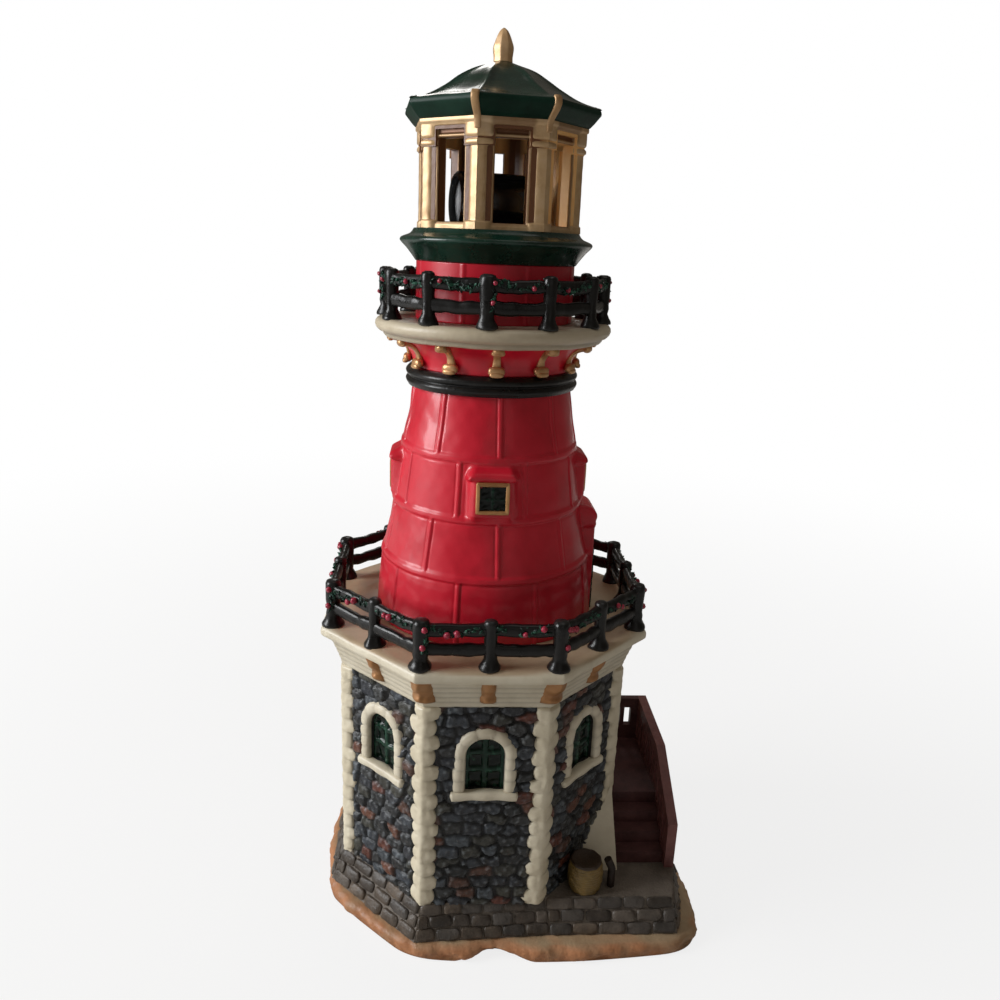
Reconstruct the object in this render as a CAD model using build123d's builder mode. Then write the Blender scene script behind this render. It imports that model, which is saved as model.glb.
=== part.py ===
import os
from math import acos, cos, pi, radians, sin, tan

from build123d import *

os.makedirs("parts", exist_ok=True)

# Light-up lighthouse figurine, millimetres, +Z up, tower axis on Z, front towards -Y.

# Octagonal house
sides = 8
wall_apothem = 38.9
wall_thickness = 4.0
wall_height = 61.5
quoin_proud = 1.3
quoin_short = 3.7
quoin_long = 4.9
quoin_rows = 14

# Base
slab_height = 4.0
slab_corner = 4.0
slab_edge = 1.6
slab_notch_x = 4.0
slab_notch_y = -48.0
slab_notch_width = 18.0
slab_notch_depth = 3.0
slab_notch_height = 2.2
plinth_height = 9.5
plinth_batter = 4.1
plinth_ledge = 0.7
terrace_front = 37.6
terrace_right_margin = 0.4
terrace_back_margin = 2.8
terrace_cut = 4.5
terrace_corner_in = 3.6
terrace_corner_back = 12.6
terrace_side_batter = 1.4

# Windows and house door
window_width = 10.2
window_sill_up = 36.1
window_spring_up = 46.8
surround_width = 3.5
surround_proud = 1.5
sill_overhang = 0.95
sill_height = 3.1
sill_proud = 2.6
pane_inset = 1.4
pane_thickness = 1.2
bar_thickness = 0.8
bar_width = 0.9
bar_low_up = 4.2
bar_high_down = 1.0
fit_gap = 0.1
house_door_width = 11.0
house_door_spring = 17.5
house_door_thickness = 1.6
house_knob_radius = 0.7
house_knob_along = 3.6
house_knob_up = 10.0

# Stair
stair_gap = 2.3
stair_width = 14.2
stair_front = -24.0
stair_steps = 4
stair_run = 4.6
stair_rise = 3.7
landing_back = 22.2
parapet_thickness = 2.8
parapet_newel = 2.2
parapet_low = 14.9
parapet_high = 28.5
parapet_back_rise = 1.4
parapet_coping = 3.4
baluster_slot = 1.8
baluster_pitch = 4.4
baluster_kerb = 1.4
landing_rail_slots = 3
landing_slot_width = 2.2
landing_rail_kerb = 5.0
landing_rail_thickness = 2.2
wing_height = 24.5
wing_front = 27.2
wing_back = 16.6
wing_gap = 0.1
wing_tip = 0.4

# Keg and hook on the terrace
keg_gap = 1.07
keg_along = -1.98
keg_radius = 5.0
keg_end_radius = 4.1
keg_height = 9.3
hoop_shares = [0.25, 0.75]
hoop_height = 1.2
hoop_proud = 0.35
hook_spacing = 7.6
hook_radius = 1.1
hook_bend = 1.6
hook_straight = 5.8
hook_top = 9.0
hook_reach = 1.4

# Cornice and deck
cornice_courses = 3
cornice_course = 2.8
cornice_step = 0.6
cornice_start = 1.0
deck_overhang = 6.4
deck_thickness = 4.1
deck_edge = 1.2
deck_hole = 9.0
corbel_width = 4.6
corbel_setback = 0.9
corbel_nose = 2.0
corbel_slope = 0.4
corbel_belly = 2.0
corbel_belly_rise = 1.4
corbel_heel = 1.5

# Deck railing
deck_post_inset = 3.3
deck_post_radius = 1.7
deck_post_height = 13.2
deck_foot_radius = 3.2
deck_foot_height = 4.4
deck_rail_depth = 2.0
deck_rail_height = 2.6
deck_low_rail = 5.4
deck_top_rail = 10.8
rail_gap = 0.3

# Garland on both railings
garland_radius = 1.1
garland_dip = 1.2
garland_gap = 0.05
berry_radius = 0.8
deck_berry_step = 4.2
gallery_berry_step = 2.4

# Red tower
tower_courses = [17.9, 15.4, 15.7, 15.8]
tower_radii = [31.2, 29.4, 26.4, 23.4, 21.4]
tower_lip = 0.5
tower_lip_height = 1.2
tower_wall = 3.4
boss_width = 12.6
boss_proud = 0.8
boss_low = 34.3
boss_height = 10.6
hood_overhang = 0.8
hood_height = 3.8
hood_proud = 0.6
tower_window_width = 6.6
tower_window_height = 6.4
tower_frame_width = 1.1
tower_frame_proud = 1.0
tower_window_up = 2.4
tower_pane_thickness = 0.5
door_boss_width = 13.6
door_boss_proud = 0.6
door_boss_height = 25.6
door_hood_height = 6.4
door_hood_proud = 0.5
door_hood_overhang = 0.6
door_hood_corner = 2.6
tower_door_width = 8.4
tower_door_spring = 15.0
tower_door_thickness = 0.6
tower_knob_radius = 0.6
tower_knob_along = 2.6
tower_knob_up = 9.0

# Collar, neck and gallery
service_radius = 17.8
collar_height = 5.2
collar_radius = 23.8
collar_low_lip = 0.9
collar_top_lip = 0.6
neck_height = 7.5
neck_low_radius = 21.6
neck_high_radius = 27.0
bracket_count = 12
bracket_width = 2.6
bracket_setback = 0.4
bracket_nose = 2.0
bracket_belly = 3.4
bracket_belly_rise = 3.1
bracket_toe = 2.4
bracket_toe_rise = 0.8
bracket_heel = 1.6
bracket_root = 0.5
gallery_thickness = 5.0
gallery_low_step = 2.0
gallery_radius = 31.7
gallery_edge = 0.8
gallery_posts = 12
gallery_post_turn = -96.0
gallery_post_radius = 1.35
gallery_post_inset = 1.9
gallery_post_height = 12.6
gallery_foot_radius = 1.9
gallery_foot_height = 2.4
gallery_rail_depth = 1.7
gallery_rail_height = 2.2
gallery_low_rail = 5.0
gallery_top_rail = 10.4

# Lantern
lantern_turn = 5.53
drum_height = 14.6
drum_radius = 21.0
drum_wall = 3.5
sill_ring_height = 8.0
sill_ring_overhang = 4.3
sill_ring_under = 1.6
sill_ring_slope = 3.6
sill_ring_foot = 0.3
cage_height = 24.9
cage_apothem = 19.0
cage_wall = 2.4
cage_window_width = 7.9
cage_window_low = 1.6
cage_window_high = 20.7
pilaster_leg = 3.5
pilaster_proud = 0.7
capital_leg = 4.0
capital_proud = 1.2
capital_height = 3.8
cage_cornice = 1.2
cage_cornice_height = 2.4
eave_low_radius = 22.8
eave_radius = 25.7
eave_height = 4.6
eave_lip = 1.3
eave_round = 0.5
roof_rise = 10.5
roof_top_radius = 2.5
roof_curve = [(0.80, 0.12), (0.59, 0.38), (0.45, 0.61), (0.29, 0.82)]
hip_width = 1.5
hip_proud = 0.7
hip_depth = 1.2
eave_bracket_width = 2.2
eave_bracket_proud = 0.5
finial_height = 7.8
finial_radius = 2.7
finial_sections = [(0.94, 0.0), (0.92, 0.14), (1.0, 0.42), (0.82, 0.62), (0.60, 0.80), (0.38, 0.92), (0.12, 1.0)]

# Beacon and its drive
beacon_turn = 194.0
barrel_radius = 7.5
barrel_bore = 6.2
barrel_length = 23.0
barrel_up = 14.7
barrel_flat = 0.8
lens_thickness = 0.8
lens_dome = 1.0
lens_inset = 1.7
reflector_wall = 0.5
reflector_mouth = 2.6
reflector_depth = 5.4
plate_thickness = 2.0
plate_seat = 0.9
plate_gap = 0.4
gear_module = 0.5
gear_teeth = 24
pinion_teeth = 12
pressure_angle = 20.0
tooth_addendum = 0.4
tooth_dedendum = 0.6
tooth_backlash = 0.16
gear_thickness = 2.4
gear_lift = 0.75
gear_hub = 4.5
lamp_post_radius = 2.0
lamp_post_bore = 1.0
lamp_post_flange = 3.6
lamp_post_flange_height = 0.6
lamp_post_height = 9.9
running_gap = 0.06
lamp_radius = 1.5
lamp_flange = 0.8
lamp_height = 2.6
motor_width = 12.0
motor_depth = 10.0
gearbox_height = 9.0
can_height = 15.0
motor_corner = 2.0
motor_nub_radius = 2.2
motor_nub = 1.2
shaft_radius = 1.5
shaft_depth = 3.0
shaft_clear = 0.6
shaft_end = 0.4
plate_boss_radius = 2.2
plate_boss_inset = 1.9
plate_boss_height = 10.0
plate_boss_floor = 2.0

# Screws
screw_radius = 0.95
screw_hole_gap = 0.06
screw_head_radius = 1.7
screw_head_height = 1.0
screw_slot = 0.4
screw_end_gap = 0.5

# Bottom cover, battery and switch
tray_clear = 0.63
cover_ledge = 4.2
cover_gap = 0.3
cover_thickness = 2.4
cover_screw_depth = 6.0
cell_radius = 5.25
cell_length = 44.5
cell_nub_radius = 1.9
cell_nub = 0.9
cell_pitch = 11.2
cell_rise = 6.3
tray_wall = 1.5
tray_side_room = 0.75
tray_end_room = 3.75
tray_top_room = 0.6
contact_thickness = 0.4
contact_pad = 2.2
contact_margin = 0.5
hinge_radius = 1.1
hinge_inset = 1.4
hinge_pin = 0.6
hinge_pin_length = 1.5
door_gap = 0.3
door_recess = 0.2
thumb_notch = 3.0
thumb_depth = 0.8
switch_y = 26.5
switch_width = 10.0
switch_depth = 6.4
switch_height = 4.4
switch_travel = 3.0
knob_width = 2.4
knob_depth = 2.0
knob_below = 0.7
knob_flange = 0.9
flange_height = 1.4
slot_gap = 0.3

# Circuit board, room lamps and wiring
board_width = 40.0
board_depth = 28.0
board_thickness = 1.6
board_stand = 1.5
board_peg_inset = 4.0
board_peg_radius = 2.0
room_lamp_radius = 2.5
room_lamp_height = 6.3
room_lamp_spacing = 18.0
wire_radius = 0.6
wire_x = 3.0
wire_y = 7.0
wire_bend = 8.0
wire_straight_end = 20.0

# Levels that follow from the heights
plinth_top = slab_height + plinth_height
wall_top = plinth_top + wall_height
cornice_top = wall_top + cornice_courses * cornice_course
deck_top = cornice_top + deck_thickness
tower_top = deck_top + sum(tower_courses)
collar_top = tower_top + collar_height
neck_top = collar_top + neck_height
gallery_top = neck_top + gallery_thickness
drum_top = gallery_top + drum_height
sill_top = drum_top + sill_ring_height
cage_top = sill_top + cage_height
eave_top = cage_top + eave_height
roof_top = eave_top + roof_rise
landing_top = plinth_top + stair_steps * stair_rise
landing_front = stair_front + stair_steps * stair_run
stair_left = wall_apothem + stair_gap
stair_right = stair_left + stair_width
terrace_right = stair_right + parapet_thickness + terrace_right_margin
terrace_back = landing_back + terrace_back_margin
sill_width = window_width + 2 * surround_width + 2 * sill_overhang
keg_out = wall_apothem + keg_gap + keg_radius
keg_x = (keg_out + keg_along) / 2 ** 0.5
keg_y = (keg_along - keg_out) / 2 ** 0.5
hook_x = keg_x + hook_spacing
deck_apothem = wall_apothem + deck_overhang
deck_post_apothem = deck_apothem - deck_post_inset
boss_reach = tower_radii[2] + boss_proud
hood_width = boss_width + 2 * hood_overhang
door_boss_reach = tower_radii[0] + door_boss_proud
gallery_low_radius = neck_high_radius + gallery_low_step
gallery_top_radius = gallery_radius - gallery_edge
gallery_post_ring = gallery_top_radius - gallery_post_inset
drum_bore = drum_radius - drum_wall
plate_radius = drum_bore + plate_seat
plate_boss_ring = drum_bore - plate_boss_inset
sill_ring_radius = drum_radius + sill_ring_overhang
sill_ring_bore = plate_radius + plate_gap
tray_half_x = cell_length / 2 + tray_end_room
tray_half_y = cell_pitch + cell_radius + tray_side_room
plinth_opening = (tray_half_x + tray_half_y + 2 * tray_wall) / 2 ** 0.5 + tray_clear
cover_apothem = plinth_opening + cover_ledge
cover_screw_ring = plinth_opening + cover_ledge / 2
plate_top = drum_top + plate_thickness
gear_low = plate_top + gear_lift
barrel_z = drum_top + barrel_up
half_turn = 180.0 / sides
bottom_left = (Align.MIN, Align.CENTER, Align.CENTER)
standing = (Align.CENTER, Align.CENTER, Align.MIN)
hanging = (Align.CENTER, Align.CENTER, Align.MAX)


def octagon(apothem, turn=0.0):
    radius = apothem / cos(radians(half_turn))
    angles = [radians(turn + half_turn + 2 * half_turn * i) for i in range(sides)]
    return [(radius * cos(a), radius * sin(a)) for a in angles]


def around(radius, angle, height=0.0):
    return (radius * cos(radians(angle)), radius * sin(radians(angle)), height)


def face_angle(index):
    return -90.0 + 2 * half_turn * index


# Plane standing on the outside of the tower: x to the right, y up, z outwards.
def side_plane(angle, reach, height=0.0):
    a = radians(angle)
    return Plane(origin=around(reach, angle, height), x_dir=(-sin(a), cos(a), 0), z_dir=(cos(a), sin(a), 0))


# Plane through the Z axis: x outwards, y up.
def radial_plane(angle):
    a = radians(angle)
    return Plane(origin=(0, 0, 0), x_dir=(cos(a), sin(a), 0), z_dir=(sin(a), -cos(a), 0))


# Arched opening drawn in the current sketch, on the sketch's own vertical centre line.
def arch(width, low, spring, mode=Mode.ADD):
    with Locations((0, (low + spring) / 2)):
        Rectangle(width, spring - low, mode=mode)
    with Locations((0, spring)):
        Circle(width / 2, mode=mode)


# Sand base slab with its irregular outline and the opening for the bottom cover.
slab_outline = [
    (-46.0, -19.0), (-38.7, -27.8), (-27.7, -38.4), (-20.9, -44.5), (-10.7, -47.1), (23.7, -48.1),
    (45.3, -46.2), (57.8, -44.4), (63.2, -38.4), (64.6, -29.0), (63.6, -10.0), (64.4, 12.0), (60.0, 28.0),
    (45.0, 33.0), (33.0, 40.5), (20.0, 47.0), (-4.0, 48.2), (-21.0, 45.5), (-37.5, 32.5), (-47.0, 17.0),
]
notch_radius = (slab_notch_width ** 2 / 4 + slab_notch_height ** 2) / (2 * slab_notch_height)
with BuildPart() as sand_base:
    with BuildSketch():
        with BuildLine():
            Polyline(*slab_outline, close=True)
        make_face()
        fillet(vertices(), slab_corner)
    extrude(amount=slab_height)
    fillet(faces().sort_by(Axis.Z)[-1].edges(), slab_edge)
    with BuildSketch():
        Polygon(*octagon(cover_apothem + cover_gap), align=None)
    extrude(amount=slab_height, mode=Mode.SUBTRACT)
    with Locations(Plane(origin=(slab_notch_x, slab_notch_y, slab_notch_height - notch_radius), z_dir=(0, 1, 0))):
        Cylinder(notch_radius, slab_notch_depth, mode=Mode.SUBTRACT)
sand_base.part.label = "sand_base"
export_step(sand_base.part, "parts/sand_base.step")


# Plinth outline, grown by a given distance from its top edge.
def plinth_outline(grow):
    apothem = wall_apothem + plinth_ledge + grow
    corner = octagon(apothem)
    front = terrace_front + grow
    right = terrace_right + grow * terrace_side_batter / plinth_batter
    back = terrace_back + grow
    slant = apothem * 2 ** 0.5
    return [
        corner[5], (slant - front, -front), (right - terrace_corner_in, -front), (right, terrace_corner_back - front),
        (right, back - terrace_cut), (right - terrace_cut, back), (slant - back, back),
        corner[1], corner[2], corner[3], corner[4],
    ]


screw_angles = [0.0, 90.0, 180.0, 270.0]
with BuildPart() as brick_plinth:
    with BuildSketch(Plane.XY.offset(slab_height)):
        Polygon(*plinth_outline(plinth_batter), align=None)
    with BuildSketch(Plane.XY.offset(plinth_top)):
        Polygon(*plinth_outline(0.0), align=None)
    loft(ruled=True)
    with BuildSketch(Plane.XY.offset(slab_height)):
        Polygon(*octagon(plinth_opening), align=None)
    extrude(amount=plinth_height, mode=Mode.SUBTRACT)
    with Locations(*[around(cover_screw_ring, a, slab_height) for a in screw_angles]):
        Cylinder(screw_radius + screw_hole_gap, cover_screw_depth, align=standing, mode=Mode.SUBTRACT)
brick_plinth.part.label = "brick_plinth"
export_step(brick_plinth.part, "parts/brick_plinth.step")

# Stone wall: the door is in the right face, a window in each of the others.
door_face = 2
window_faces = [i for i in range(sides) if i != door_face]
window_low = plinth_top + window_sill_up
window_spring = plinth_top + window_spring_up
door_spring = landing_top + house_door_spring
with BuildPart() as stone_wall:
    with BuildSketch(Plane.XY.offset(plinth_top)):
        Polygon(*octagon(wall_apothem), align=None)
        Polygon(*octagon(wall_apothem - wall_thickness), align=None, mode=Mode.SUBTRACT)
    extrude(amount=wall_height)
    for i in window_faces:
        with BuildSketch(side_plane(face_angle(i), wall_apothem)):
            arch(window_width, window_low, window_spring)
        extrude(amount=-2 * wall_thickness, mode=Mode.SUBTRACT)
    with BuildSketch(side_plane(face_angle(door_face), wall_apothem)):
        arch(house_door_width, landing_top, door_spring)
    extrude(amount=-2 * wall_thickness, mode=Mode.SUBTRACT)
stone_wall.part.label = "stone_wall"
export_step(stone_wall.part, "parts/stone_wall.step")


# Chevron around one corner of an octagon, with legs of a given length along both sides.
def chevron(apothem, proud, leg, corner_angle):
    points = []
    for reach, ends in ((apothem, (-1, 0, 1)), (apothem + proud, (1, 0, -1))):
        for end in ends:
            along = reach * tan(radians(half_turn)) - abs(end) * leg
            angle = corner_angle + end * half_turn
            base = around(reach, angle)
            side = around(-end * along, angle + 90)
            if end == 0:
                points.append(around(reach / cos(radians(half_turn)), corner_angle)[:2])
            else:
                points.append((base[0] + side[0], base[1] + side[1]))
    return points


quoin_row = wall_height / quoin_rows
with BuildPart() as corner_quoins:
    for i in range(sides):
        corner_angle = face_angle(i) + half_turn
        with BuildSketch(Plane.XY.offset(plinth_top)):
            Polygon(*chevron(wall_apothem, quoin_proud, quoin_short, corner_angle), align=None)
        extrude(amount=wall_height)
        for row in range(0, quoin_rows, 2):
            with BuildSketch(Plane.XY.offset(plinth_top + row * quoin_row)):
                Polygon(*chevron(wall_apothem, quoin_proud, quoin_long, corner_angle), align=None)
            extrude(amount=quoin_row)
corner_quoins.part.label = "corner_quoins"
export_step(corner_quoins.part, "parts/corner_quoins.step")

# Cream surrounds of the windows with their sills, and of the house door.
with BuildPart() as stone_surrounds:
    for i in window_faces:
        with BuildSketch(side_plane(face_angle(i), wall_apothem)):
            arch(window_width + 2 * surround_width, window_low, window_spring)
            arch(window_width, window_low, window_spring, mode=Mode.SUBTRACT)
        extrude(amount=surround_proud)
        with BuildSketch(side_plane(face_angle(i), wall_apothem)):
            with Locations((0, window_low)):
                Rectangle(sill_width, sill_height, align=(Align.CENTER, Align.MAX))
        extrude(amount=sill_proud)
    with BuildSketch(side_plane(face_angle(door_face), wall_apothem)):
        arch(house_door_width + 2 * surround_width, landing_top, door_spring)
        arch(house_door_width, landing_top, door_spring, mode=Mode.SUBTRACT)
    extrude(amount=surround_proud)
stone_surrounds.part.label = "stone_surrounds"
export_step(stone_surrounds.part, "parts/stone_surrounds.step")

pane_width = window_width - 2 * fit_gap
with BuildPart() as window_panes:
    for i in window_faces:
        with BuildSketch(side_plane(face_angle(i), wall_apothem - pane_inset)):
            arch(pane_width, window_low, window_spring)
        extrude(amount=-pane_thickness)
window_panes.part.label = "window_panes"
export_step(window_panes.part, "parts/window_panes.step")

# Bars in front of each pane: a rim, an upright and two cross bars.
bar_levels = [window_low + bar_low_up, window_spring - bar_high_down]
with BuildPart() as window_bars:
    for i in window_faces:
        with BuildSketch(side_plane(face_angle(i), wall_apothem - pane_inset)):
            arch(pane_width, window_low, window_spring)
            arch(pane_width - 2 * bar_width, window_low + bar_width, window_spring, mode=Mode.SUBTRACT)
            with Locations((0, window_low)):
                Rectangle(bar_width, window_spring - window_low + pane_width / 2 - bar_width / 2,
                          align=(Align.CENTER, Align.MIN))
            with Locations(*[(0, level) for level in bar_levels]):
                Rectangle(pane_width - bar_width, bar_width)
        extrude(amount=bar_thickness)
window_bars.part.label = "window_bars"
export_step(window_bars.part, "parts/window_bars.step")

with BuildPart() as house_door:
    with BuildSketch(side_plane(face_angle(door_face), wall_apothem - pane_inset)):
        arch(house_door_width - 2 * fit_gap, landing_top, door_spring)
    extrude(amount=-house_door_thickness)
    with Locations((wall_apothem - pane_inset, house_knob_along, landing_top + house_knob_up)):
        Sphere(house_knob_radius)
house_door.part.label = "house_door"
export_step(house_door.part, "parts/house_door.step")

# Stair flight and landing against the right face.
stair_profile = [(stair_front, plinth_top)]
for i in range(stair_steps):
    stair_profile.append((stair_front + i * stair_run, plinth_top + (i + 1) * stair_rise))
    stair_profile.append((stair_front + (i + 1) * stair_run, plinth_top + (i + 1) * stair_rise))
stair_profile += [(landing_back, landing_top), (landing_back, plinth_top)]
with BuildPart() as stair_flight:
    with BuildSketch(Plane.YZ.offset(stair_left)):
        Polygon(*stair_profile, align=None)
    extrude(amount=stair_right - stair_left)
    with Locations((wall_apothem, landing_front, plinth_top)):
        Box(stair_left - wall_apothem, landing_back - landing_front, landing_top - plinth_top,
            align=(Align.MIN, Align.MIN, Align.MIN))
    add(corner_quoins.part, mode=Mode.SUBTRACT)
stair_flight.part.label = "stair_flight"
export_step(stair_flight.part, "parts/stair_flight.step")

# Parapet board on the outer side of the stair, with slots that leave balusters.
newel_front = stair_front - parapet_newel
newel_top = plinth_top + parapet_low
parapet_knee = plinth_top + parapet_high
parapet_end = parapet_knee + parapet_back_rise


def parapet_top(y):
    if y < landing_front:
        return newel_top + (parapet_knee - newel_top) * (y - newel_front) / (landing_front - newel_front)
    return parapet_knee + parapet_back_rise * (y - landing_front) / (landing_back - landing_front)


def tread_top(y):
    step = int((y - stair_front) / stair_run) + 1
    return plinth_top + stair_rise * min(stair_steps, step)


slot_count = int((landing_back - stair_front) / baluster_pitch) - 1
slot_places = [stair_front + baluster_pitch * (i + 0.8) for i in range(slot_count + 1)]
with BuildPart() as stair_parapet:
    with BuildSketch(Plane.YZ.offset(stair_right)):
        Polygon((newel_front, plinth_top), (newel_front, newel_top), (landing_front, parapet_knee),
                (landing_back, parapet_end), (landing_back, plinth_top), align=None)
    extrude(amount=parapet_thickness)
    with BuildSketch(Plane.YZ.offset(stair_right)):
        for y in slot_places:
            low = tread_top(y) + baluster_kerb
            high = parapet_top(y - baluster_slot / 2) - parapet_coping
            with Locations((y, (low + high) / 2)):
                Rectangle(baluster_slot, high - low)
    extrude(amount=parapet_thickness, mode=Mode.SUBTRACT)
stair_parapet.part.label = "stair_parapet"
export_step(stair_parapet.part, "parts/stair_parapet.step")

rail_slot_low = landing_top + landing_rail_kerb
rail_slot_high = parapet_end - parapet_coping
rail_slot_step = stair_width / (landing_rail_slots + 1)
rail_slot_places = [stair_left + rail_slot_step * (i + 1) for i in range(landing_rail_slots)]
backed = (Align.CENTER, Align.MAX, Align.MIN)
with BuildPart() as landing_rail:
    with Locations(((stair_left + stair_right) / 2, landing_back, landing_top)):
        Box(stair_width, landing_rail_thickness, parapet_end - landing_top, align=backed)
    with Locations(*[(x, landing_back, rail_slot_low) for x in rail_slot_places]):
        Box(landing_slot_width, landing_rail_thickness, rail_slot_high - rail_slot_low, align=backed,
            mode=Mode.SUBTRACT)
landing_rail.part.label = "landing_rail"
export_step(landing_rail.part, "parts/landing_rail.step")

# Sloping cream wing between the front-right wall and the foot of the stair.
wing_foot = wall_apothem / 2 ** 0.5
wing_outside = wall_apothem + wing_tip
with BuildPart() as stair_wing:
    with BuildSketch(Plane.XY.offset(plinth_top)):
        Polygon((wing_foot, -wing_foot), (stair_left - wing_gap, -wing_front), (wing_outside, -wing_back), align=None)
    with BuildSketch(Plane.XY.offset(plinth_top + wing_height)):
        Polygon((wall_apothem - wing_tip, -wing_back), (wing_outside, -wing_back - wing_tip),
                (wing_outside, -wing_back + wing_tip), align=None)
    loft(ruled=True)
    add(corner_quoins.part, mode=Mode.SUBTRACT)
    add(stone_wall.part, mode=Mode.SUBTRACT)
stair_wing.part.label = "stair_wing"
export_step(stair_wing.part, "parts/stair_wing.step")

with BuildPart() as keg:
    with BuildSketch(Plane(origin=(keg_x, keg_y, plinth_top), x_dir=(1, 0, 0), z_dir=(0, -1, 0))):
        with BuildLine():
            Polyline((0, keg_height), (0, 0), (keg_end_radius, 0))
            ThreePointArc((keg_end_radius, 0), (keg_radius, keg_height / 2), (keg_end_radius, keg_height))
            Line((keg_end_radius, keg_height), (0, keg_height))
        make_face()
    revolve(axis=Axis((keg_x, keg_y, 0), (0, 0, 1)))
keg.part.label = "keg"
export_step(keg.part, "parts/keg.step")

with BuildPart() as keg_hoops:
    with Locations(*[(keg_x, keg_y, plinth_top + keg_height * f) for f in hoop_shares]):
        Cylinder((keg_radius + keg_end_radius) / 2 + 2 * hoop_proud, hoop_height)
    add(keg.part, mode=Mode.SUBTRACT)
keg_hoops.part.label = "keg_hoops"
export_step(keg_hoops.part, "parts/keg_hoops.step")

with BuildPart() as mooring_hook:
    with BuildLine():
        FilletPolyline((hook_x, keg_y, plinth_top), (hook_x, keg_y, plinth_top + hook_straight),
                       (hook_x - hook_reach, keg_y, plinth_top + hook_top), radius=hook_bend)
    with BuildSketch(Plane.XY.offset(plinth_top)):
        with Locations((hook_x, keg_y)):
            Circle(hook_radius)
    sweep()
mooring_hook.part.label = "mooring_hook"
export_step(mooring_hook.part, "parts/mooring_hook.step")

# Cornice courses and deck slab in one casting.
with BuildPart() as deck_slab:
    for i in range(cornice_courses):
        with BuildSketch(Plane.XY.offset(wall_top + i * cornice_course)):
            Polygon(*octagon(wall_apothem + cornice_start + i * cornice_step), align=None)
        extrude(amount=cornice_course)
    with BuildSketch(Plane.XY.offset(cornice_top)):
        Polygon(*octagon(deck_apothem), align=None)
    extrude(amount=deck_thickness)
    chamfer(faces().sort_by(Axis.Z)[-1].edges(), deck_edge)
    with Locations((0, 0, wall_top)):
        Cylinder(deck_hole, deck_top - wall_top, align=standing, mode=Mode.SUBTRACT)
deck_slab.part.label = "deck_slab"
export_step(deck_slab.part, "parts/deck_slab.step")

# Corbels under the deck edge, at the corners and at the middle of each side.
corbel_back = wall_apothem + cornice_start
corbel_front = deck_apothem - corbel_setback
with BuildPart() as deck_corbels:
    for i in range(2 * sides):
        stretch = 1.0 / cos(radians(half_turn)) if i % 2 else 1.0
        with BuildSketch(radial_plane(-90.0 + i * half_turn)):
            Polygon((corbel_back * stretch, wall_top + cornice_course), (corbel_back * stretch, cornice_top),
                    (corbel_front * stretch, cornice_top),
                    ((corbel_front - corbel_slope) * stretch, cornice_top - corbel_nose),
                    ((corbel_back + corbel_belly) * stretch, wall_top + cornice_course + corbel_belly_rise),
                    ((corbel_back + corbel_heel) * stretch, wall_top + cornice_course), align=None)
        extrude(amount=corbel_width / 2, both=True)
    add(deck_slab.part, mode=Mode.SUBTRACT)
deck_corbels.part.label = "deck_corbels"
export_step(deck_corbels.part, "parts/deck_corbels.step")

# Deck railing: eight panels, each with a corner post, a middle post and two rails.
deck_half = deck_post_apothem * tan(radians(half_turn))
deck_corner_ring = deck_post_apothem / cos(radians(half_turn))
deck_post_places = [around(deck_corner_ring, face_angle(i) - half_turn, deck_top) for i in range(sides)]
deck_post_places += [around(deck_post_apothem, face_angle(i), deck_top) for i in range(sides)]
with BuildPart() as deck_railing:
    with Locations(*deck_post_places):
        Cone(deck_foot_radius, deck_post_radius, deck_foot_height, align=standing)
        Cylinder(deck_post_radius, deck_post_height, align=standing)
    for rise in (deck_low_rail, deck_top_rail):
        for i in range(sides):
            plane = side_plane(face_angle(i), deck_post_apothem, deck_top + rise)
            with Locations(plane.shift_origin(plane.from_local_coords((-deck_half, 0, 0)))):
                Box(2 * deck_half - deck_post_radius - rail_gap, deck_rail_height, deck_rail_depth, align=bottom_left)
deck_railing.part.label = "deck_railing"
export_step(deck_railing.part, "parts/deck_railing.step")


# Ends and lowest point of one garland swag, along a panel's own x and up from the rail.
def swag_points(start, end):
    return (start, garland_dip / 2), ((start + end) / 2, -garland_dip / 2), (end, garland_dip / 2)


deck_swag_reach = deck_post_apothem + deck_rail_depth / 2 + garland_radius + garland_gap
deck_swag_start = deck_post_radius + garland_radius
deck_swag_end = deck_half - deck_swag_start
with BuildPart() as deck_garland:
    for i in range(sides):
        for side in (-1, 1):
            swag = side_plane(face_angle(i), deck_swag_reach, deck_top + deck_top_rail)
            points = swag_points(side * deck_swag_start, side * deck_swag_end)
            with BuildLine(swag) as deck_swag_path:
                ThreePointArc(*points)
            with BuildSketch(deck_swag_path.line ^ 0):
                Circle(garland_radius)
            sweep()
deck_garland.part.label = "deck_garland"
export_step(deck_garland.part, "parts/deck_garland.step")

deck_berry_reach = deck_swag_reach + garland_radius + berry_radius + garland_gap
deck_berry_places = []
for i in range(sides):
    plane = side_plane(face_angle(i), deck_berry_reach, deck_top + deck_top_rail)
    for side in (-1, 1):
        middle = side * (deck_swag_start + deck_swag_end) / 2
        deck_berry_places += [plane.from_local_coords((middle, -garland_dip / 2, 0))]
        deck_berry_places += [plane.from_local_coords((middle + side * deck_berry_step, -garland_dip / 8, 0))]
with BuildPart() as deck_berries:
    with Locations(*deck_berry_places):
        Sphere(berry_radius)
deck_berries.part.label = "deck_berries"
export_step(deck_berries.part, "parts/deck_berries.step")

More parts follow.
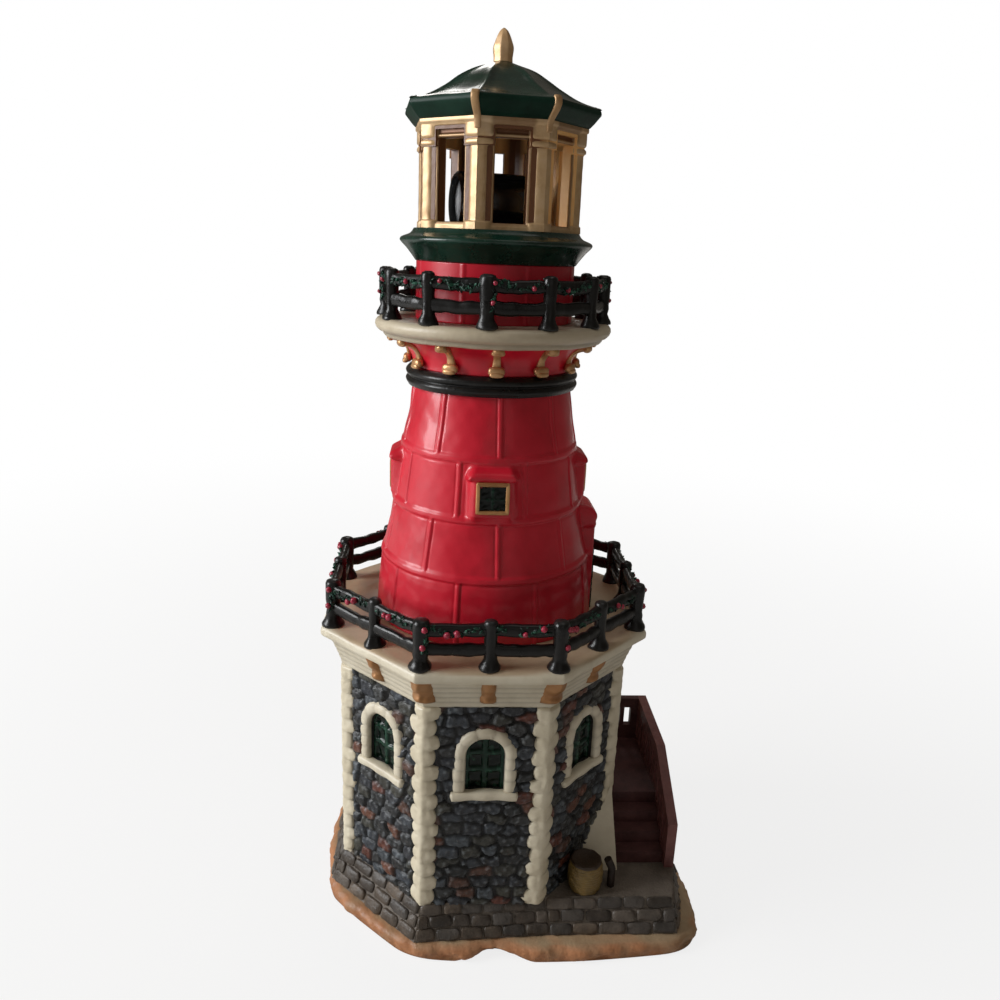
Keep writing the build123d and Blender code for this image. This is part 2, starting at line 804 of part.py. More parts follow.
# Red tower: four courses, each with a lip over the one below, and bosses for the windows and the door.
course_levels = [deck_top + sum(tower_courses[:i]) for i in range(len(tower_courses) + 1)]
tower_profile = [(0, deck_top), (tower_radii[0], deck_top)]
for i in range(1, len(tower_courses)):
    tower_profile += [
        (tower_radii[i], course_levels[i] - tower_lip), (tower_radii[i] + tower_lip, course_levels[i]),
        (tower_radii[i] + tower_lip, course_levels[i] + tower_lip_height - tower_lip),
        (tower_radii[i], course_levels[i] + tower_lip_height),
    ]
tower_profile += [(tower_radii[-1], tower_top), (0, tower_top)]
tower_window_angles = [-90.0, 0.0, 90.0, 180.0]
tower_boss_low = deck_top + boss_low
tower_hood_low = tower_boss_low + boss_height
with BuildPart() as red_tower:
    with BuildSketch(Plane.XZ):
        Polygon(*tower_profile, align=None)
    revolve(axis=Axis.Z)
    for angle in tower_window_angles:
        with BuildSketch(side_plane(angle, boss_reach)):
            with Locations((0, tower_boss_low)):
                Rectangle(boss_width, boss_height, align=(Align.CENTER, Align.MIN))
        extrude(amount=-boss_reach / 2)
        with BuildSketch(side_plane(angle, boss_reach + hood_proud)):
            with Locations((0, tower_hood_low + hood_height / 2)):
                SlotOverall(hood_width, hood_height)
        extrude(amount=-boss_reach / 2)
    with BuildSketch(side_plane(0.0, door_boss_reach)):
        with Locations((0, deck_top)):
            Rectangle(door_boss_width, door_boss_height, align=(Align.CENTER, Align.MIN))
    extrude(amount=-boss_reach / 2)
    with BuildSketch(side_plane(0.0, door_boss_reach + door_hood_proud)):
        with Locations((0, deck_top + door_boss_height + door_hood_height / 2)):
            RectangleRounded(door_boss_width + 2 * door_hood_overhang, door_hood_height, door_hood_corner)
    extrude(amount=-boss_reach / 2)
    with Locations((0, 0, deck_top)):
        Cone(tower_radii[0] - tower_wall, tower_radii[-1] - tower_wall, tower_top - deck_top, align=standing,
             mode=Mode.SUBTRACT)
red_tower.part.label = "red_tower"
export_step(red_tower.part, "parts/red_tower.step")

frame_low = tower_boss_low + tower_window_up
with BuildPart() as tower_window_frames:
    for angle in tower_window_angles:
        with BuildSketch(side_plane(angle, boss_reach)):
            with Locations((0, frame_low + tower_window_height / 2)):
                Rectangle(tower_window_width + 2 * tower_frame_width, tower_window_height + 2 * tower_frame_width)
                Rectangle(tower_window_width, tower_window_height, mode=Mode.SUBTRACT)
                Rectangle(tower_window_width, tower_frame_width / 2)
        extrude(amount=tower_frame_proud)
tower_window_frames.part.label = "tower_window_frames"
export_step(tower_window_frames.part, "parts/tower_window_frames.step")

with BuildPart() as tower_window_panes:
    for angle in tower_window_angles:
        with BuildSketch(side_plane(angle, boss_reach)):
            with Locations((0, frame_low + tower_window_height / 2)):
                Rectangle(tower_window_width, tower_window_height)
        extrude(amount=tower_pane_thickness)
    add(tower_window_frames.part, mode=Mode.SUBTRACT)
tower_window_panes.part.label = "tower_window_panes"
export_step(tower_window_panes.part, "parts/tower_window_panes.step")

with BuildPart() as tower_door:
    with BuildSketch(side_plane(0.0, door_boss_reach)):
        arch(tower_door_width, deck_top, deck_top + tower_door_spring)
    extrude(amount=tower_door_thickness)
    with Locations((door_boss_reach + tower_door_thickness, tower_knob_along, deck_top + tower_knob_up)):
        Sphere(tower_knob_radius)
    add(red_tower.part, mode=Mode.SUBTRACT)
tower_door.part.label = "tower_door"
export_step(tower_door.part, "parts/tower_door.step")

with BuildPart() as tower_collar:
    with BuildSketch(Plane.XZ):
        Polygon((service_radius, tower_top), (tower_radii[-1] + collar_low_lip, tower_top),
                (collar_radius, tower_top + 0.3 * collar_height), (collar_radius, tower_top + 0.65 * collar_height),
                (neck_low_radius + collar_top_lip, collar_top), (service_radius, collar_top), align=None)
    revolve(axis=Axis.Z)
tower_collar.part.label = "tower_collar"
export_step(tower_collar.part, "parts/tower_collar.step")

with BuildPart() as gallery_neck:
    with BuildSketch(Plane.XZ):
        with BuildLine():
            Polyline((neck_high_radius, neck_top), (service_radius, neck_top), (service_radius, collar_top),
                     (neck_low_radius, collar_top))
            ThreePointArc((neck_low_radius, collar_top),
                          (neck_low_radius + 0.25 * (neck_high_radius - neck_low_radius),
                           collar_top + 0.6 * neck_height),
                          (neck_high_radius, neck_top))
        make_face()
    revolve(axis=Axis.Z)
gallery_neck.part.label = "gallery_neck"
export_step(gallery_neck.part, "parts/gallery_neck.step")

# Scroll brackets around the neck.
bracket_front = gallery_low_radius - bracket_setback
with BuildPart() as gallery_brackets:
    for i in range(bracket_count):
        with BuildSketch(radial_plane(-90.0 + i * 360.0 / bracket_count)):
            Polygon((neck_low_radius - bracket_root, collar_top), (neck_low_radius - bracket_root, neck_top),
                    (bracket_front, neck_top), (bracket_front, neck_top - bracket_nose),
                    (neck_low_radius + bracket_belly, collar_top + bracket_belly_rise),
                    (neck_low_radius + bracket_toe, collar_top + bracket_toe_rise),
                    (neck_low_radius + bracket_heel, collar_top), align=None)
        extrude(amount=bracket_width / 2, both=True)
    with Locations((0, 0, collar_top)):
        Cylinder(neck_low_radius, neck_height, align=standing, mode=Mode.SUBTRACT)
    add(gallery_neck.part, mode=Mode.SUBTRACT)
gallery_brackets.part.label = "gallery_brackets"
export_step(gallery_brackets.part, "parts/gallery_brackets.step")

with BuildPart() as gallery_slab:
    with BuildSketch(Plane.XZ):
        Polygon((service_radius, neck_top), (gallery_low_radius, neck_top),
                (gallery_radius, neck_top + 0.6 * gallery_thickness),
                (gallery_radius, neck_top + 0.85 * gallery_thickness), (gallery_top_radius, gallery_top),
                (service_radius, gallery_top), align=None)
    revolve(axis=Axis.Z)
gallery_slab.part.label = "gallery_slab"
export_step(gallery_slab.part, "parts/gallery_slab.step")

# Gallery railing: twelve panels, each with one post and two straight rails.
gallery_step = 360.0 / gallery_posts
gallery_chord = gallery_post_ring * cos(radians(gallery_step / 2))
gallery_half = gallery_post_ring * sin(radians(gallery_step / 2))
gallery_angles = [gallery_post_turn + gallery_step * (i + 0.5) for i in range(gallery_posts)]
gallery_post_places = [around(gallery_post_ring, a - gallery_step / 2, gallery_top) for a in gallery_angles]
with BuildPart() as gallery_railing:
    with Locations(*gallery_post_places):
        Cone(gallery_foot_radius, gallery_post_radius, gallery_foot_height, align=standing)
        Cylinder(gallery_post_radius, gallery_post_height, align=standing)
    for rise in (gallery_low_rail, gallery_top_rail):
        for angle in gallery_angles:
            plane = side_plane(angle, gallery_chord, gallery_top + rise)
            with Locations(plane.shift_origin(plane.from_local_coords((-gallery_half, 0, 0)))):
                Box(2 * gallery_half - gallery_post_radius - rail_gap, gallery_rail_height, gallery_rail_depth,
                    align=bottom_left)
gallery_railing.part.label = "gallery_railing"
export_step(gallery_railing.part, "parts/gallery_railing.step")

gallery_swag_reach = gallery_chord + gallery_rail_depth / 2 + garland_radius + garland_gap
gallery_swag_end = gallery_half - gallery_post_radius - garland_radius
with BuildPart() as gallery_garland:
    for angle in gallery_angles:
        swag = side_plane(angle, gallery_swag_reach, gallery_top + gallery_top_rail)
        with BuildLine(swag) as gallery_swag_path:
            ThreePointArc(*swag_points(-gallery_swag_end, gallery_swag_end))
        with BuildSketch(gallery_swag_path.line ^ 0):
            Circle(garland_radius)
        sweep()
gallery_garland.part.label = "gallery_garland"
export_step(gallery_garland.part, "parts/gallery_garland.step")

gallery_berry_reach = gallery_swag_reach + garland_radius + berry_radius + garland_gap
gallery_berry_places = []
for angle in gallery_angles:
    plane = side_plane(angle, gallery_berry_reach, gallery_top + gallery_top_rail)
    gallery_berry_places += [plane.from_local_coords((-gallery_berry_step, -garland_dip / 4, 0))]
    gallery_berry_places += [plane.from_local_coords((gallery_berry_step, -garland_dip / 4, 0))]
with BuildPart() as gallery_berries:
    with Locations(*gallery_berry_places):
        Sphere(berry_radius)
gallery_berries.part.label = "gallery_berries"
export_step(gallery_berries.part, "parts/gallery_berries.step")

# Lantern drum with inside bosses for the mechanism plate.
plate_screw_angles = [-90.0, 30.0, 150.0]
with BuildPart() as lantern_drum:
    with Locations((0, 0, gallery_top)):
        Cylinder(drum_radius, drum_height, align=standing)
        Cylinder(drum_bore, drum_height, align=standing, mode=Mode.SUBTRACT)
    with Locations(*[around(plate_boss_ring, a, drum_top) for a in plate_screw_angles]):
        Cylinder(plate_boss_radius, plate_boss_height, align=hanging)
    with Locations(*[around(plate_boss_ring, a, drum_top) for a in plate_screw_angles]):
        Cylinder(screw_radius + screw_hole_gap, plate_boss_height - plate_boss_floor, align=hanging,
                 mode=Mode.SUBTRACT)
lantern_drum.part.label = "lantern_drum"
export_step(lantern_drum.part, "parts/lantern_drum.step")

cage_bore = cage_apothem - cage_wall
with BuildPart() as lantern_sill:
    with BuildSketch(Plane.XZ):
        Polygon((sill_ring_bore, drum_top), (drum_radius + sill_ring_foot, drum_top),
                (sill_ring_radius - sill_ring_under, drum_top + 0.36 * sill_ring_height),
                (sill_ring_radius, drum_top + 0.58 * sill_ring_height),
                (sill_ring_radius, drum_top + 0.72 * sill_ring_height), (sill_ring_radius - sill_ring_slope, sill_top),
                (cage_bore, sill_top), (cage_bore, sill_top - 0.25 * sill_ring_height),
                (sill_ring_bore, sill_top - 0.5 * sill_ring_height), align=None)
    revolve(axis=Axis.Z)
lantern_sill.part.label = "lantern_sill"
export_step(lantern_sill.part, "parts/lantern_sill.step")

# Lantern cage: octagonal, with open windows, corner pilasters with capitals and a small cornice.
pilaster_height = cage_height - cage_cornice_height
capital_low = cage_top - cage_cornice_height - capital_height
with BuildPart() as lantern_cage:
    with BuildSketch(Plane.XY.offset(sill_top)):
        Polygon(*octagon(cage_apothem, lantern_turn), align=None)
    extrude(amount=cage_height)
    with BuildSketch(Plane.XY.offset(cage_top - cage_cornice_height)):
        Polygon(*octagon(cage_apothem + cage_cornice, lantern_turn), align=None)
    extrude(amount=cage_cornice_height)
    for i in range(sides):
        corner_angle = lantern_turn + face_angle(i) + half_turn
        with BuildSketch(Plane.XY.offset(sill_top)):
            Polygon(*chevron(cage_apothem, pilaster_proud, pilaster_leg, corner_angle), align=None)
        extrude(amount=pilaster_height)
        with BuildSketch(Plane.XY.offset(capital_low)):
            Polygon(*chevron(cage_apothem, capital_proud, capital_leg, corner_angle), align=None)
        extrude(amount=capital_height)
    with BuildSketch(Plane.XY.offset(sill_top)):
        Polygon(*octagon(cage_bore, lantern_turn), align=None)
    extrude(amount=cage_height, mode=Mode.SUBTRACT)
    for i in range(sides):
        with BuildSketch(side_plane(face_angle(i) + lantern_turn, cage_apothem + cage_cornice)):
            with Locations((0, sill_top + cage_window_low)):
                Rectangle(cage_window_width, cage_window_high - cage_window_low, align=(Align.CENTER, Align.MIN))
        extrude(amount=-3 * cage_wall, mode=Mode.SUBTRACT)
lantern_cage.part.label = "lantern_cage"
export_step(lantern_cage.part, "parts/lantern_cage.step")

# Roof: undercut eave, then a bell-shaped octagonal cap with raised hips and a small flat for the finial.
flat_of_round = cos(radians(half_turn))
eave_edge = [(eave_low_radius, cage_top), (eave_radius, eave_top - eave_lip)]
hip_line = [(eave_radius - eave_round, eave_top)]
hip_line += [(share * eave_radius, eave_top + rise * roof_rise) for share, rise in roof_curve]
hip_line += [(roof_top_radius, roof_top)]
hip_profile = [(radius, height + hip_proud) for radius, height in hip_line[:-1]] + hip_line[-1:]
hip_profile += [(radius - hip_depth, height - hip_depth / 2) for radius, height in reversed(hip_line)]
corner_angles = [lantern_turn + face_angle(i) + half_turn for i in range(sides)]
with BuildPart() as lantern_roof:
    for radius, height in eave_edge + hip_line:
        with BuildSketch(Plane.XY.offset(height)):
            Polygon(*octagon(radius * flat_of_round, lantern_turn), align=None)
    loft(ruled=True)
    for angle in corner_angles:
        with BuildSketch(radial_plane(angle)):
            Polygon(*hip_profile, align=None)
        extrude(amount=hip_width / 2, both=True)
lantern_roof.part.label = "lantern_roof"
export_step(lantern_roof.part, "parts/lantern_roof.step")

# Gold brackets at the eave corners, from the eave's edge down to the cage's capitals.
cornice_low = cage_top - cage_cornice_height
cornice_corner = (cage_apothem + cage_cornice) / flat_of_round
bracket_profile = [
    (cornice_corner - eave_bracket_proud, cornice_low), (eave_low_radius + eave_bracket_proud, cornice_low),
    (eave_low_radius + 2 * eave_bracket_proud, cage_top), (eave_radius + eave_bracket_proud, eave_top - eave_lip),
    (eave_radius + eave_bracket_proud, eave_top + hip_proud), (eave_radius - eave_lip, eave_top + hip_proud),
    (cornice_corner - eave_bracket_proud, cage_top),
]
with BuildPart() as eave_brackets:
    for angle in corner_angles:
        with BuildSketch(radial_plane(angle)):
            Polygon(*bracket_profile, align=None)
        extrude(amount=eave_bracket_width / 2, both=True)
    add(lantern_roof.part, mode=Mode.SUBTRACT)
    add(lantern_cage.part, mode=Mode.SUBTRACT)
eave_brackets.part.label = "eave_brackets"
export_step(eave_brackets.part, "parts/eave_brackets.step")

with BuildPart() as finial:
    for width, rise in finial_sections:
        with BuildSketch(Plane.XY.offset(roof_top + rise * finial_height)):
            Polygon(*octagon(width * finial_radius * flat_of_round, lantern_turn), align=None)
    loft(ruled=True)
finial.part.label = "finial"
export_step(finial.part, "parts/finial.step")

# Mechanism plate on the drum, with holes for the motor shaft, the lamp lead and three screws.
gear_pitch = gear_module * gear_teeth / 2
pinion_pitch = gear_module * pinion_teeth / 2
drive_centre = gear_pitch + pinion_pitch
with BuildPart() as mechanism_plate:
    with Locations((0, 0, drum_top)):
        Cylinder(plate_radius, plate_thickness, align=standing)
        Cylinder(lamp_post_bore, plate_thickness, align=standing, mode=Mode.SUBTRACT)
    with Locations((0, drive_centre, drum_top)):
        Cylinder(shaft_radius + shaft_clear, plate_thickness, align=standing, mode=Mode.SUBTRACT)
    with Locations(*[around(plate_boss_ring, a, drum_top) for a in plate_screw_angles]):
        Cylinder(screw_radius + screw_hole_gap, plate_thickness, align=standing, mode=Mode.SUBTRACT)
mechanism_plate.part.label = "mechanism_plate"
export_step(mechanism_plate.part, "parts/mechanism_plate.step")

plate_screw_length = plate_thickness + plate_boss_height - plate_boss_floor - screw_end_gap
with BuildPart() as plate_screws:
    with Locations(*[around(plate_boss_ring, a, plate_top) for a in plate_screw_angles]):
        Cylinder(screw_head_radius, screw_head_height, align=standing)
        Cylinder(screw_radius, plate_screw_length, align=hanging)
    with Locations(*[around(plate_boss_ring, a, plate_top + screw_head_height) for a in plate_screw_angles]):
        Box(2 * screw_radius, screw_slot, screw_slot, align=hanging, mode=Mode.SUBTRACT)
plate_screws.part.label = "plate_screws"
export_step(plate_screws.part, "parts/plate_screws.step")

# Gear motor hanging under the plate.
motor_low = drum_top - gearbox_height - can_height
with BuildPart() as gear_motor:
    with Locations((0, drive_centre, drum_top)):
        Box(motor_width, motor_depth, gearbox_height, align=hanging)
    with Locations((0, drive_centre, motor_low)):
        Box(motor_width, motor_depth, can_height, align=standing)
    fillet(edges().filter_by(Axis.Z).filter_by_position(Axis.Z, motor_low, drum_top - gearbox_height / 2),
           motor_corner)
    with Locations((0, drive_centre, motor_low)):
        Cylinder(motor_nub_radius, motor_nub, align=hanging)
    with Locations((0, drive_centre, drum_top)):
        Cylinder(shaft_radius + running_gap, shaft_depth + running_gap, align=hanging, mode=Mode.SUBTRACT)
gear_motor.part.label = "gear_motor"
export_step(gear_motor.part, "parts/gear_motor.step")


# Outline of a spur gear with involute flanks, one tooth centred on the given angle.
def gear_outline(teeth, turn):
    pitch = gear_module * teeth / 2
    base = pitch * cos(radians(pressure_angle))
    tip = pitch + tooth_addendum

    def roll(radius):
        angle = acos(min(1.0, base / radius))
        return tan(angle) - angle

    half = pi / (2 * teeth) - tooth_backlash / (4 * pitch)
    radii = [pitch - tooth_dedendum] + [base + (tip - base) * i / 4 for i in range(5)]
    widths = [half + roll(pitch) - roll(max(base, radius)) for radius in radii]
    points = []
    for i in range(teeth):
        centre = radians(turn) + 2 * pi * i / teeth
        rising = [(r * cos(centre - w), r * sin(centre - w)) for r, w in zip(radii, widths)]
        falling = [(r * cos(centre + w), r * sin(centre + w)) for r, w in zip(radii, widths)]
        points += rising + falling[::-1]
    return points


with BuildPart() as motor_pinion:
    with BuildSketch(Plane.XY.offset(gear_low)):
        with Locations((0, drive_centre)):
            Polygon(*gear_outline(pinion_teeth, -90.0 + 180.0 / pinion_teeth), align=None)
    extrude(amount=gear_thickness)
    with Locations((0, drive_centre, drum_top - shaft_depth)):
        Cylinder(shaft_radius, gear_low + gear_thickness + shaft_end - drum_top + shaft_depth, align=standing)
motor_pinion.part.label = "motor_pinion"
export_step(motor_pinion.part, "parts/motor_pinion.step")

barrel_floor = barrel_z - barrel_radius + barrel_flat
with BuildPart() as beacon_gear:
    with BuildSketch(Plane.XY.offset(gear_low)):
        Polygon(*gear_outline(gear_teeth, 90.0), align=None)
    extrude(amount=gear_thickness)
    with Locations((0, 0, gear_low)):
        Cylinder(gear_hub, barrel_floor - gear_low, align=standing)
        Cylinder(lamp_post_radius + running_gap, barrel_floor - gear_low, align=standing, mode=Mode.SUBTRACT)
beacon_gear.part.label = "beacon_gear"
export_step(beacon_gear.part, "parts/beacon_gear.step")

# Beacon barrel across the lantern, with a flat underneath that sits on the gear hub.
barrel_middle = side_plane(beacon_turn, 0.0, barrel_z)
with BuildPart() as beacon_barrel:
    with Locations(barrel_middle):
        Cylinder(barrel_radius, barrel_length)
    chamfer(edges().filter_by(GeomType.CIRCLE), 0.6)
    with Locations(barrel_middle):
        Cylinder(barrel_bore, barrel_length, mode=Mode.SUBTRACT)
    with Locations((0, 0, barrel_floor)):
        Box(2 * barrel_length, 2 * barrel_length, barrel_radius, align=hanging, mode=Mode.SUBTRACT)
        Cylinder(lamp_post_radius + shaft_clear, barrel_radius, align=standing, mode=Mode.SUBTRACT)
beacon_barrel.part.label = "beacon_barrel"
export_step(beacon_barrel.part, "parts/beacon_barrel.step")

lens_start = barrel_length / 2 - lens_inset - lens_thickness
lens_radius = barrel_bore - fit_gap / 2
barrel_axis = Axis((0, 0, barrel_z), around(1.0, beacon_turn))
barrel_plane = Plane(origin=(0, 0, barrel_z), x_dir=around(1.0, beacon_turn),
                     z_dir=(sin(radians(beacon_turn)), -cos(radians(beacon_turn)), 0))
with BuildPart() as beacon_lenses:
    for end in (-1, 1):
        with BuildSketch(barrel_plane):
            with BuildLine():
                Polyline((end * lens_start, lens_radius), (end * lens_start, 0),
                         (end * (lens_start + lens_thickness + lens_dome), 0))
                ThreePointArc((end * (lens_start + lens_thickness + lens_dome), 0),
                              (end * (lens_start + lens_thickness + 0.76 * lens_dome), lens_radius / 2),
                              (end * (lens_start + lens_thickness), lens_radius))
                Line((end * (lens_start + lens_thickness), lens_radius), (end * lens_start, lens_radius))
            make_face()
        revolve(axis=barrel_axis)
beacon_lenses.part.label = "beacon_lenses"
export_step(beacon_lenses.part, "parts/beacon_lenses.step")

with BuildPart() as beacon_reflectors:
    for end in (-1, 1):
        with BuildSketch(barrel_plane):
            Polygon((end * lens_start, lens_radius), (end * (lens_start - 0.6), lens_radius),
                    (end * (lens_start - reflector_depth), reflector_mouth + reflector_wall),
                    (end * (lens_start - reflector_depth), reflector_mouth),
                    (end * lens_start, lens_radius - reflector_wall), align=None)
        revolve(axis=barrel_axis)
beacon_reflectors.part.label = "beacon_reflectors"
export_step(beacon_reflectors.part, "parts/beacon_reflectors.step")

# Fixed hollow post that the beacon turns on, and the lamp at its top.
post_top = plate_top + lamp_post_height
with BuildPart() as lamp_post:
    with Locations((0, 0, plate_top)):
        Cylinder(lamp_post_flange, lamp_post_flange_height, align=standing)
        Cylinder(lamp_post_radius, lamp_post_height, align=standing)
        Cylinder(lamp_post_bore, lamp_post_height, align=standing, mode=Mode.SUBTRACT)
lamp_post.part.label = "lamp_post"
export_step(lamp_post.part, "parts/lamp_post.step")

with BuildPart() as beacon_lamp:
    with Locations((0, 0, post_top)):
        Cylinder(lamp_post_radius - fit_gap, lamp_flange, align=standing)
        Cylinder(lamp_radius, lamp_height, align=standing)
    with Locations((0, 0, post_top + lamp_height)):
        Sphere(lamp_radius)
beacon_lamp.part.label = "beacon_lamp"
export_step(beacon_lamp.part, "parts/beacon_lamp.step")

# Bottom cover, set up into the slab so that the part stands on the slab's own rim.
cover_low = slab_height - cover_thickness
hinge_z = slab_height - cover_thickness / 2
hinge_y = -tray_half_y + hinge_inset
knob_rest = -switch_travel / 2
with BuildPart() as bottom_cover:
    with BuildSketch(Plane.XY.offset(cover_low)):
        Polygon(*octagon(cover_apothem), align=None)
        Rectangle(2 * tray_half_x, 2 * tray_half_y, mode=Mode.SUBTRACT)
        with Locations((0, switch_y)):
            Rectangle(switch_travel + knob_width + 2 * slot_gap, knob_depth + 2 * slot_gap, mode=Mode.SUBTRACT)
    extrude(amount=cover_thickness)
    with Locations(*[around(cover_screw_ring, a, cover_low) for a in screw_angles]):
        Cylinder(screw_radius + screw_hole_gap, cover_thickness, align=standing, mode=Mode.SUBTRACT)
        Cylinder(screw_head_radius + fit_gap, screw_head_height, align=standing, mode=Mode.SUBTRACT)
    with Locations(Plane(origin=(0, hinge_y, hinge_z), x_dir=(0, 1, 0), z_dir=(1, 0, 0))):
        Cylinder(hinge_pin + running_gap, 2 * (tray_half_x + hinge_pin_length), mode=Mode.SUBTRACT)
bottom_cover.part.label = "bottom_cover"
export_step(bottom_cover.part, "parts/bottom_cover.step")

with BuildPart() as cover_screws:
    with Locations(*[around(cover_screw_ring, a, cover_low) for a in screw_angles]):
        Cylinder(screw_head_radius, screw_head_height, align=standing)
        Cylinder(screw_radius, cover_thickness + cover_screw_depth - screw_end_gap, align=standing)
        Box(2 * screw_radius, screw_slot, screw_slot, align=standing, mode=Mode.SUBTRACT)
cover_screws.part.label = "cover_screws"
export_step(cover_screws.part, "parts/cover_screws.step")

# Battery door: hinged on two pins along one long edge, opens downwards.
door_half_x = tray_half_x - door_gap
door_free = tray_half_y - door_gap
with BuildPart() as battery_door:
    with Locations((0, (hinge_y + door_free) / 2, cover_low)):
        Box(2 * door_half_x, door_free - hinge_y, cover_thickness - door_recess, align=standing)
    with Locations(Plane(origin=(0, hinge_y, hinge_z), x_dir=(0, 1, 0), z_dir=(1, 0, 0))):
        Cylinder(hinge_radius, 2 * door_half_x)
        Cylinder(hinge_pin, 2 * (tray_half_x + hinge_pin_length - door_gap))
    with Locations((0, door_free, cover_low)):
        Cylinder(thumb_notch, thumb_depth, align=standing, mode=Mode.SUBTRACT)
battery_door.part.label = "battery_door"
export_step(battery_door.part, "parts/battery_door.step")

cell_z = slab_height + cell_rise
tray_height = cell_rise + cell_radius + tray_top_room + tray_wall
tray_top = slab_height + tray_height
board_low = tray_top + board_stand
board_top = board_low + board_thickness
peg_x = board_width / 2 - board_peg_inset
peg_y = board_depth / 2 - board_peg_inset
with BuildPart() as battery_tray:
    with Locations((0, 0, slab_height)):
        Box(2 * (tray_half_x + tray_wall), 2 * (tray_half_y + tray_wall), tray_height, align=standing)
        Box(2 * tray_half_x, 2 * tray_half_y, tray_height - tray_wall, align=standing, mode=Mode.SUBTRACT)
    with Locations(*[(x * peg_x, y * peg_y, tray_top) for x in (-1, 1) for y in (-1, 1)]):
        Cylinder(board_peg_radius, board_stand, align=standing)
battery_tray.part.label = "battery_tray"
export_step(battery_tray.part, "parts/battery_tray.step")

# Three cells side by side, every other one turned round.
cell_rows = [-cell_pitch, 0.0, cell_pitch]
with BuildPart() as battery_cells:
    for i, y in enumerate(cell_rows):
        side = -1 if i % 2 else 1
        with Locations(Plane(origin=(-side * cell_nub / 2, y, cell_z), x_dir=(0, 1, 0), z_dir=(1, 0, 0))):
            Cylinder(cell_radius, cell_length - cell_nub)
        with Locations(Plane(origin=(0, y, cell_z), x_dir=(0, 1, 0), z_dir=(side, 0, 0))):
            Cylinder(cell_nub_radius, cell_length / 2, align=standing)
battery_cells.part.label = "battery_cells"
export_step(battery_cells.part, "parts/battery_cells.step")

contact_height = 2 * (cell_radius - contact_margin)
with BuildPart() as battery_contacts:
    for side in (-1, 1):
        with Locations((side * (tray_half_x - contact_thickness / 2), 0, cell_z)):
            Box(contact_thickness, 2 * (cell_pitch + cell_radius - contact_margin), contact_height)
        for y in cell_rows:
            with Locations(Plane(origin=(side * cell_length / 2, y, cell_z), x_dir=(0, 1, 0), z_dir=(side, 0, 0))):
                Cylinder(contact_pad, tray_end_room, align=standing)
battery_contacts.part.label = "battery_contacts"
export_step(battery_contacts.part, "parts/battery_contacts.step")

# Slide switch: its body on the cover, its knob through the slot.
with BuildPart() as switch_body:
    with Locations((0, switch_y, slab_height)):
        Box(switch_width, switch_depth, switch_height, align=standing)
        Box(switch_travel + knob_width + 2 * knob_flange + 2 * slot_gap, knob_depth + 2 * knob_flange + 2 * slot_gap,
            flange_height + 2 * slot_gap, align=standing, mode=Mode.SUBTRACT)
switch_body.part.label = "switch_body"
export_step(switch_body.part, "parts/switch_body.step")

with BuildPart() as switch_knob:
    with Locations((knob_rest, switch_y, cover_low - knob_below)):
        Box(knob_width, knob_depth, knob_below + cover_thickness + slot_gap, align=standing)
    with Locations((knob_rest, switch_y, slab_height + slot_gap)):
        Box(knob_width + 2 * knob_flange, knob_depth + 2 * knob_flange, flange_height, align=standing)
switch_knob.part.label = "switch_knob"
export_step(switch_knob.part, "parts/switch_knob.step")

with BuildPart() as circuit_board:
    with Locations((0, 0, board_low)):
        Box(board_width, board_depth, board_thickness, align=standing)
circuit_board.part.label = "circuit_board"
export_step(circuit_board.part, "parts/circuit_board.step")

with BuildPart() as room_lamps:
    with Locations(*[(x * room_lamp_spacing / 2, 0, board_top) for x in (-1, 1)]):
        Cylinder(room_lamp_radius, room_lamp_height, align=standing)
    with Locations(*[(x * room_lamp_spacing / 2, 0, board_top + room_lamp_height) for x in (-1, 1)]):
        Sphere(room_lamp_radius)
room_lamps.part.label = "room_lamps"
export_step(room_lamps.part, "parts/room_lamps.step")

# Two leads from the board: one straight to the motor, one through the post to the beacon lamp.
with BuildPart() as wiring_harness:
    with Locations((wire_x, wire_y, board_top)):
        Cylinder(wire_radius, motor_low - board_top, align=standing)
    with BuildLine():
        FilletPolyline((-wire_x, wire_y, board_top), (-wire_x, wire_y, tower_top - wire_straight_end), (0, 0, neck_top),
                       (0, 0, post_top), radius=wire_bend)
    with BuildSketch(Plane.XY.offset(board_top)):
        with Locations((-wire_x, wire_y)):
            Circle(wire_radius)
    sweep()
wiring_harness.part.label = "wiring_harness"
export_step(wiring_harness.part, "parts/wiring_harness.step")
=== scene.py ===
from math import atan, cos, pi, radians, sin, sqrt, tan

import bpy
import numpy as np
from mathutils import Matrix, Vector


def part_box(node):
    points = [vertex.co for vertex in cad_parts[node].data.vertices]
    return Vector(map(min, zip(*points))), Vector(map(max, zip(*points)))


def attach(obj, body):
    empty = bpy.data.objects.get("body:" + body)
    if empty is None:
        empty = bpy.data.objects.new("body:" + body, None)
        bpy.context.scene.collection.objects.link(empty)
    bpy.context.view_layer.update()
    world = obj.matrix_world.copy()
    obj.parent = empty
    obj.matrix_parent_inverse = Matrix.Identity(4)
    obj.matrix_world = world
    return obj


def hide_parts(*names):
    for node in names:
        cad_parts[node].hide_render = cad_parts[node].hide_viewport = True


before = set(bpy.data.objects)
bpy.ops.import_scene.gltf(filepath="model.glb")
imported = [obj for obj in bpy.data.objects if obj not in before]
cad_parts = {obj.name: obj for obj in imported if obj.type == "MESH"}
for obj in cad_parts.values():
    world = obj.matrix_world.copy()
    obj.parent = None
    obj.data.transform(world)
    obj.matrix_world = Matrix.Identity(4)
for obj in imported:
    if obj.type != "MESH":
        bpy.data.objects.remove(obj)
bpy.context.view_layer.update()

# Light-up lighthouse figurine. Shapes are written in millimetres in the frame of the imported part.
MM = 0.001
SIDES = 8
STEP = 360.0 / SIDES
HALF = STEP / 2
FLAT = cos(radians(HALF))
